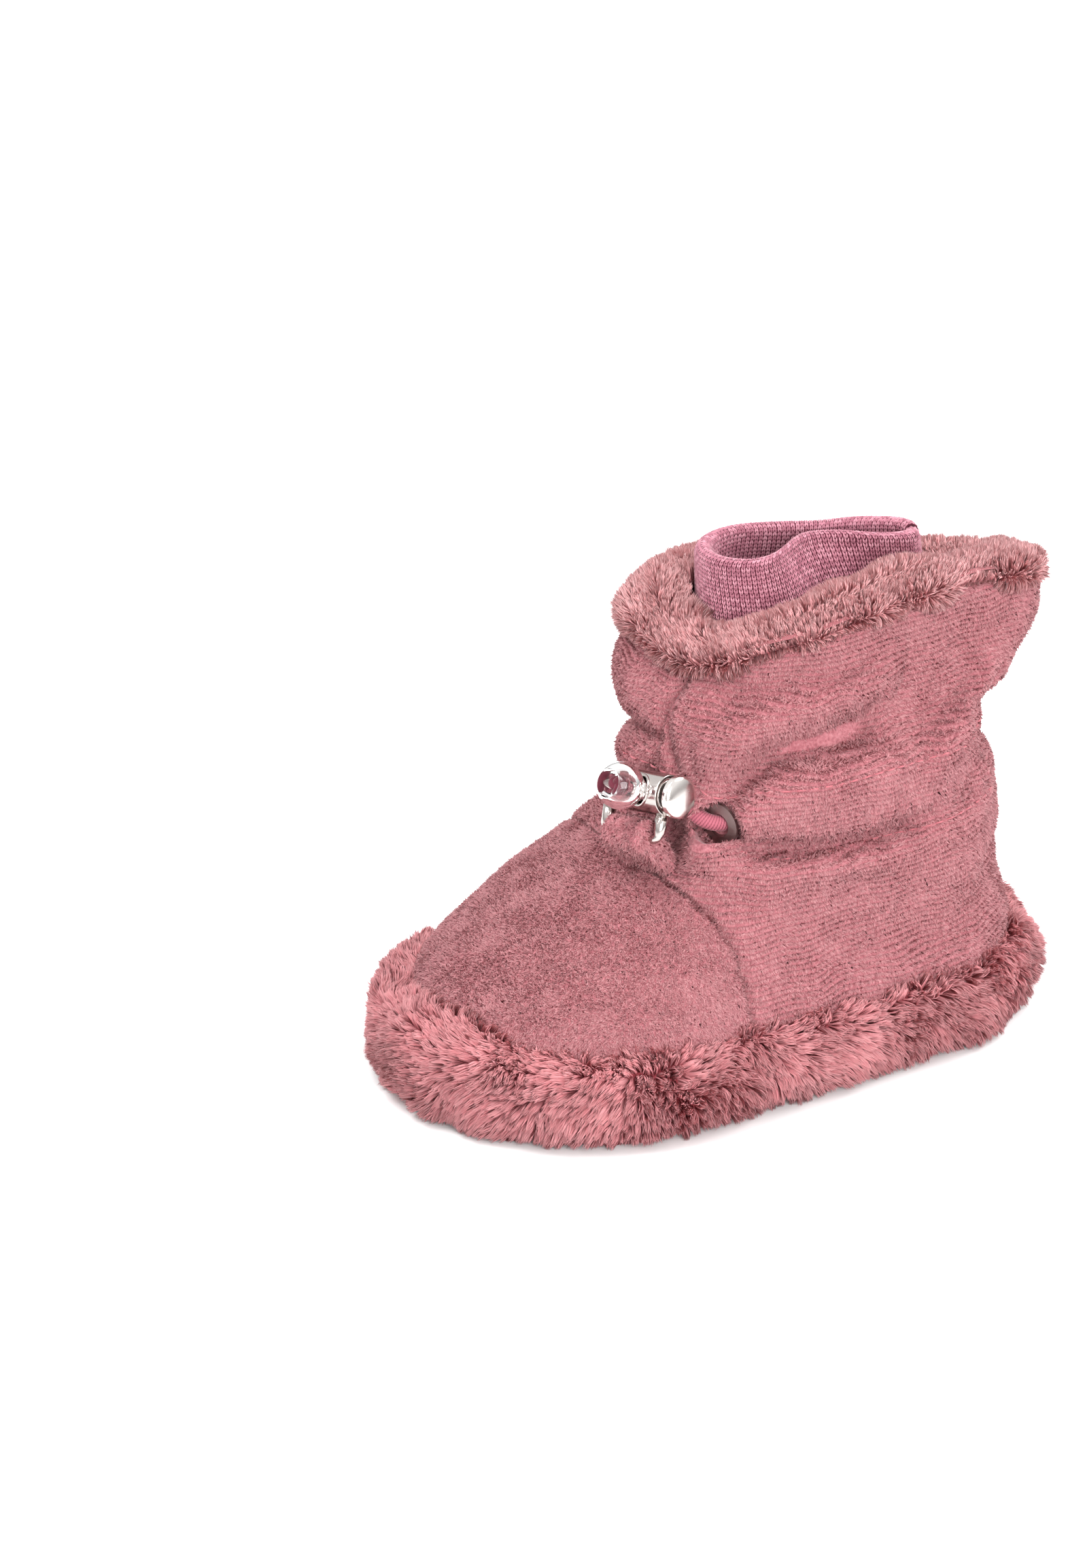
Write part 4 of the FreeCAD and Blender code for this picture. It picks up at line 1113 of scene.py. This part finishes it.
def add_lock():
    outside = rounded([(-BARREL_END, AXIS), (-BARREL_END, BARREL_RADIUS),
                       (BARREL_END, BARREL_RADIUS), (BARREL_END, BORE_RADIUS)], 0.55)
    grooved = [(x, r - sum(0.12 * math.exp(-((x - at) / 0.22) ** 2) for at in (5.6, -5.6)))
               for x, r in outside]
    barrel = lathe(grooved + [(FLOOR_X, BORE_RADIUS), (FLOOR_X, AXIS)], 72)
    body = drilled("lock_barrel_shell", *barrel, CHROME, HOLE_X)
    # faces inside the bore get the darker metal: painted shade inside the barrel
    body.data.materials.append(SHADED)
    for face in body.data.polygons:
        if face.center.yz.length < 3.4 * MM and face.center.x > -6.6 * MM:
            face.material_index = 1
    turn_to_lock(body)
    place(body, "lock", "lock_metal", "lock_barrel")
    angle = np.linspace(0, TURN, 49)
    x, z = HOLE_X + 2.66 * np.cos(angle), 2.66 * np.sin(angle)
    for side, end in ((-1, "front"), (1, "back")):
        rim = on_lock(np.stack([x, side * np.sqrt(3.68 ** 2 - z ** 2), z], -1))
        place(tube_piece(f"lock_hole_rim_{end}", rim, 0.26, CHROME, 10), "lock", "lock_metal")
    loop = rounded([(-6.25, 0, -2.9), (-6.25, 0, -7.9), (6.25, 0, -7.9), (6.25, 0, -2.9)], 1.3, 7)
    radius = np.interp(np.linspace(0, 1, len(loop)), [0, 0.15, 0.85, 1], [1.25, 0.8, 0.8, 1.25])
    place(tube_piece("lock_loop", on_lock(loop), radius, CHROME, 16), "lock", "lock_metal")
    # plunger: stem in the bore, neck, then a head with a domed end standing off the rim
    neck_end, head, head_end, stem_end = 8.55, 3.75, 9.5, 6.65
    profile = rounded([(0.3, AXIS), (0.3, 3.1), (stem_end, 3.1), (stem_end, 2.5), (neck_end, 2.5),
                       (neck_end, head), (head_end, head)], 0.18, 4)
    bow = [(head_end + 1.1 * math.sin(a), head * math.cos(a))
           for a in np.linspace(0.12, np.pi / 2 - 0.001, 14)]
    plunger = drilled("lock_plunger_button", *lathe(profile + bow, 72), BUTTON, 3.7)
    place(turn_to_lock(plunger), "plunger", "plunger_metal", "lock_plunger")


def add_tab():
    """Strip of fleece folded over the loop's bar and sewn into the throat."""
    reach, half_width, fold_radius, steps = 10.4, 4.8, 3.3, 18
    lean = math.radians(38 - LOCK_LEAN)
    down = np.array([0, math.sin(lean), -math.cos(lean)])
    side = np.cross((1, 0, 0), down)
    centre = np.array([0, 0, -7.9])
    across = np.linspace(-half_width, half_width, 40)
    plump = np.clip((half_width - np.abs(across)) / 1.1, 0, 1)
    plump = np.sqrt(1 - (1 - plump) ** 2)[:, None]
    rows = []
    for t in np.linspace(reach, 0, steps):
        thick = (2.0 + 1.3 * math.exp(-t / 3)) * min(1, (reach - t) / 1.2)
        rows.append((down * t, side * thick))
    for a in np.linspace(0, np.pi, 17)[1:-1]:
        rows.append((down * 0, (side * math.cos(a) - down * math.sin(a)) * fold_radius))
    rows += [(along, -out) for along, out in rows[steps - 1::-1]]
    width = across[:, None] * np.array([1, 0, 0])
    grid = np.stack([centre + along + out * plump + width for along, out in rows])
    outwards = np.stack([np.broadcast_to(unit(out + 1e-9), (len(across), 3)) for _, out in rows])
    sideways = (np.sign(across) * (1 - plump[:, 0]))[None, :, None] * np.array([1.0, 0, 0])
    turned = unit(outwards + sideways).reshape(-1, 3) @ np.array(LOCK_TURN).T
    world = on_lock(grid.reshape(-1, 3))
    world = world + turned * (0.18 * lumps(world, 1.1, 91))[:, None]
    faces = grid_faces(*grid.shape[:2])
    a, b, c = (world[faces[:, k]] for k in range(3))
    if np.sum(np.cross(b - a, c - a) * turned[faces[:, 0]]) < 0:
        faces = faces[:, ::-1]
    place(build("lock_tab_strip", world, faces, FLEECE), "boot", "fleece_rose", "lock_tab")
    rng = np.random.default_rng(92)
    roots, normals = scatter(world, faces, 9000, rng)
    tufts = nap("lock_tab_nap", roots, normals, np.array([0, 0, -0.6]), 0.6, 0.32, rng)
    place(tufts, "boot", "fleece_rose")


# ---- cord and its end ----
RIB_PITCH, RIB_HEIGHT, CORD_SIDES = 0.45, 0.16, 18


def ribbing(s, angle):
    """Crossing ribs of a covered elastic: 0 in the grooves, 1 on the crowns."""
    return np.abs(np.sin(s * np.pi / RIB_PITCH + angle * 2))


def cord_piece(name, line):
    along = running(line)
    s = np.arange(0, along[-1], RIB_PITCH / 4 - 0.0005)
    points, faces, caps = tube(sample(line, along, s), CORD_RADIUS - 0.02, CORD_SIDES,
                               lambda way, angle: RIB_HEIGHT * ribbing(way, angle) - 0.1)
    # tone is the rib depth, which the cord's material paints as shade in the grooves and highlight
    # on the crowns
    tone = np.append(ribbing(s[:, None], circle(CORD_SIDES)).ravel(), [0, 0])
    faces = np.concatenate([faces[:, [0, 1, 2]], faces[:, [0, 2, 3]], caps])
    return build(name, points, faces, CORD, tone=tone)


def add_cord():
    line = route_points(CORD_ROUTE)
    local = (line - np.array(LOCK_AT)) @ np.array(LOCK_TURN)
    # only the last quarter of the route is near the eyelet's outside and the lock
    early = 1000 * (np.arange(len(line)) < len(line) * 0.75)
    leaves = int(np.argmin(np.linalg.norm(line - (14.9, -8.6, 46), axis=1) + early))
    enters = int(np.argmin(np.abs(local[:, 1]) + early))
    main = cord_piece("drawcord_main", line[: leaves + 1])
    place(main, "boot", "cord_elastic", "drawcord")
    lead = cord_piece("drawcord_lead", line[leaves: enters + 1])
    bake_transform(lead)
    tail = cord_piece("drawcord_tail", line[enters:])
    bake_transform(tail)
    ball, knot = add_cord_end()


def add_cord_end():
    """Clear moulded ball, hollow at its far end, with the cord's knot showing inside."""
    radius, bore, hollow = 4.1, 1.6, 2.5
    sphere = [(radius * math.cos(a), radius * math.sin(a))
              for a in np.linspace(0.56, np.pi - 0.66, 40)]
    profile = rounded([(1.0, bore), (4.3, bore), (4.3, 2.2), *sphere, (-3.1, hollow),
                       (0.9, hollow), (1.0, bore)], 0.15, 3)
    points, faces = lathe(profile, 56)
    turned = points[:, [1, 0, 2]] + [3, -8.3, 0]
    ball = build("cord_end_bead", on_lock(turned), faces[:, ::-1], CLEAR)
    place(ball, "cord_end", "clear_plastic", "cord_end_ball")
    t = np.linspace(0, TURN, 90)
    loop = np.stack([np.sin(t) + 1.9 * np.sin(2 * t), 0.62 * np.sin(3 * t),
                     np.cos(t) - 1.9 * np.cos(2 * t)], -1) * 0.43 + [3, -9.05, 0]
    knot = tube_piece("cord_knot_wraps", on_lock(loop), 0.72, CORD, 12)
    place(knot, "cord_end", "cord_elastic", "cord_knot")
    return ball, knot


def finish_metal():
    """Materials of the CAD pieces that stay as they are."""
    # the eyelet's nickel is darkened as painted shade
    for node, material in (("eyelet_flange", NICKEL_SHADED), ("eyelet_washer", NICKEL_SHADED),
                           ("lock_spring", STEEL)):
        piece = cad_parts[node]
        piece.data.materials.clear()
        piece.data.materials.append(material)
        piece.data.shade_smooth()
        piece.data.set_sharp_from_angle(angle=0.6)


# ---- studio ----
def add_studio():
    paper = Nodes("paper", Base_Color=(0.9, 0.9, 0.9, 1), Roughness=0.9).material
    half = 4000.0
    corners = [(-half, -half, 0), (half, -half, 0), (half, half, 0), (-half, half, 0)]
    floor = build("floor", np.array(corners), np.array([[0, 1, 2, 3]]), paper)
    world = bpy.data.worlds.new("studio")
    bpy.context.scene.world = world
    world.use_nodes = True
    tree = world.node_tree
    up = tree.nodes.new("ShaderNodeSeparateXYZ")
    sky = tree.nodes.new("ShaderNodeValToRGB")
    tree.links.new(tree.nodes.new("ShaderNodeTexCoord").outputs["Generated"], up.inputs[0])
    tree.links.new(up.outputs["Z"], sky.inputs["Fac"])
    tree.links.new(sky.outputs["Color"], tree.nodes["Background"].inputs[0])
    tree.nodes["Background"].inputs[1].default_value = 1.06
    stops = ((0.0, (0.38, 0.36, 0.36, 1)), (0.45, (1, 1, 1, 1)))
    for element, (position, colour) in zip(sky.color_ramp.elements, stops):
        element.position, element.color = position, colour
    for name, spot, size, power in (("key", (-0.25, -0.45, 0.9), 0.5, 6.5),
                                    ("fill", (0.95, -0.25, 0.5), 0.6, 10),
                                    ("back", (0.1, 0.8, 0.8), 0.6, 6)):
        light = bpy.data.lights.new(name, "AREA")
        light.size, light.energy = size, power
        lamp = add_object(name, light)
        lamp.location = spot
        towards = Vector((0, 0, 0.04)) - Vector(spot)
        lamp.rotation_euler = towards.to_track_quat("-Z", "Y").to_euler()
    bpy.context.scene.view_settings.view_transform = "Standard"


add_cord()
add_lock()
add_tab()
add_upper()
add_band()
add_collar()
add_cuff()
add_linings()
add_sole()
add_casing()
add_stitches("casing_stitch_low_row", 40.9, "casing_stitch_low")
add_stitches("casing_stitch_high_row", 52.4, "casing_stitch_high")
finish_metal()
add_studio()
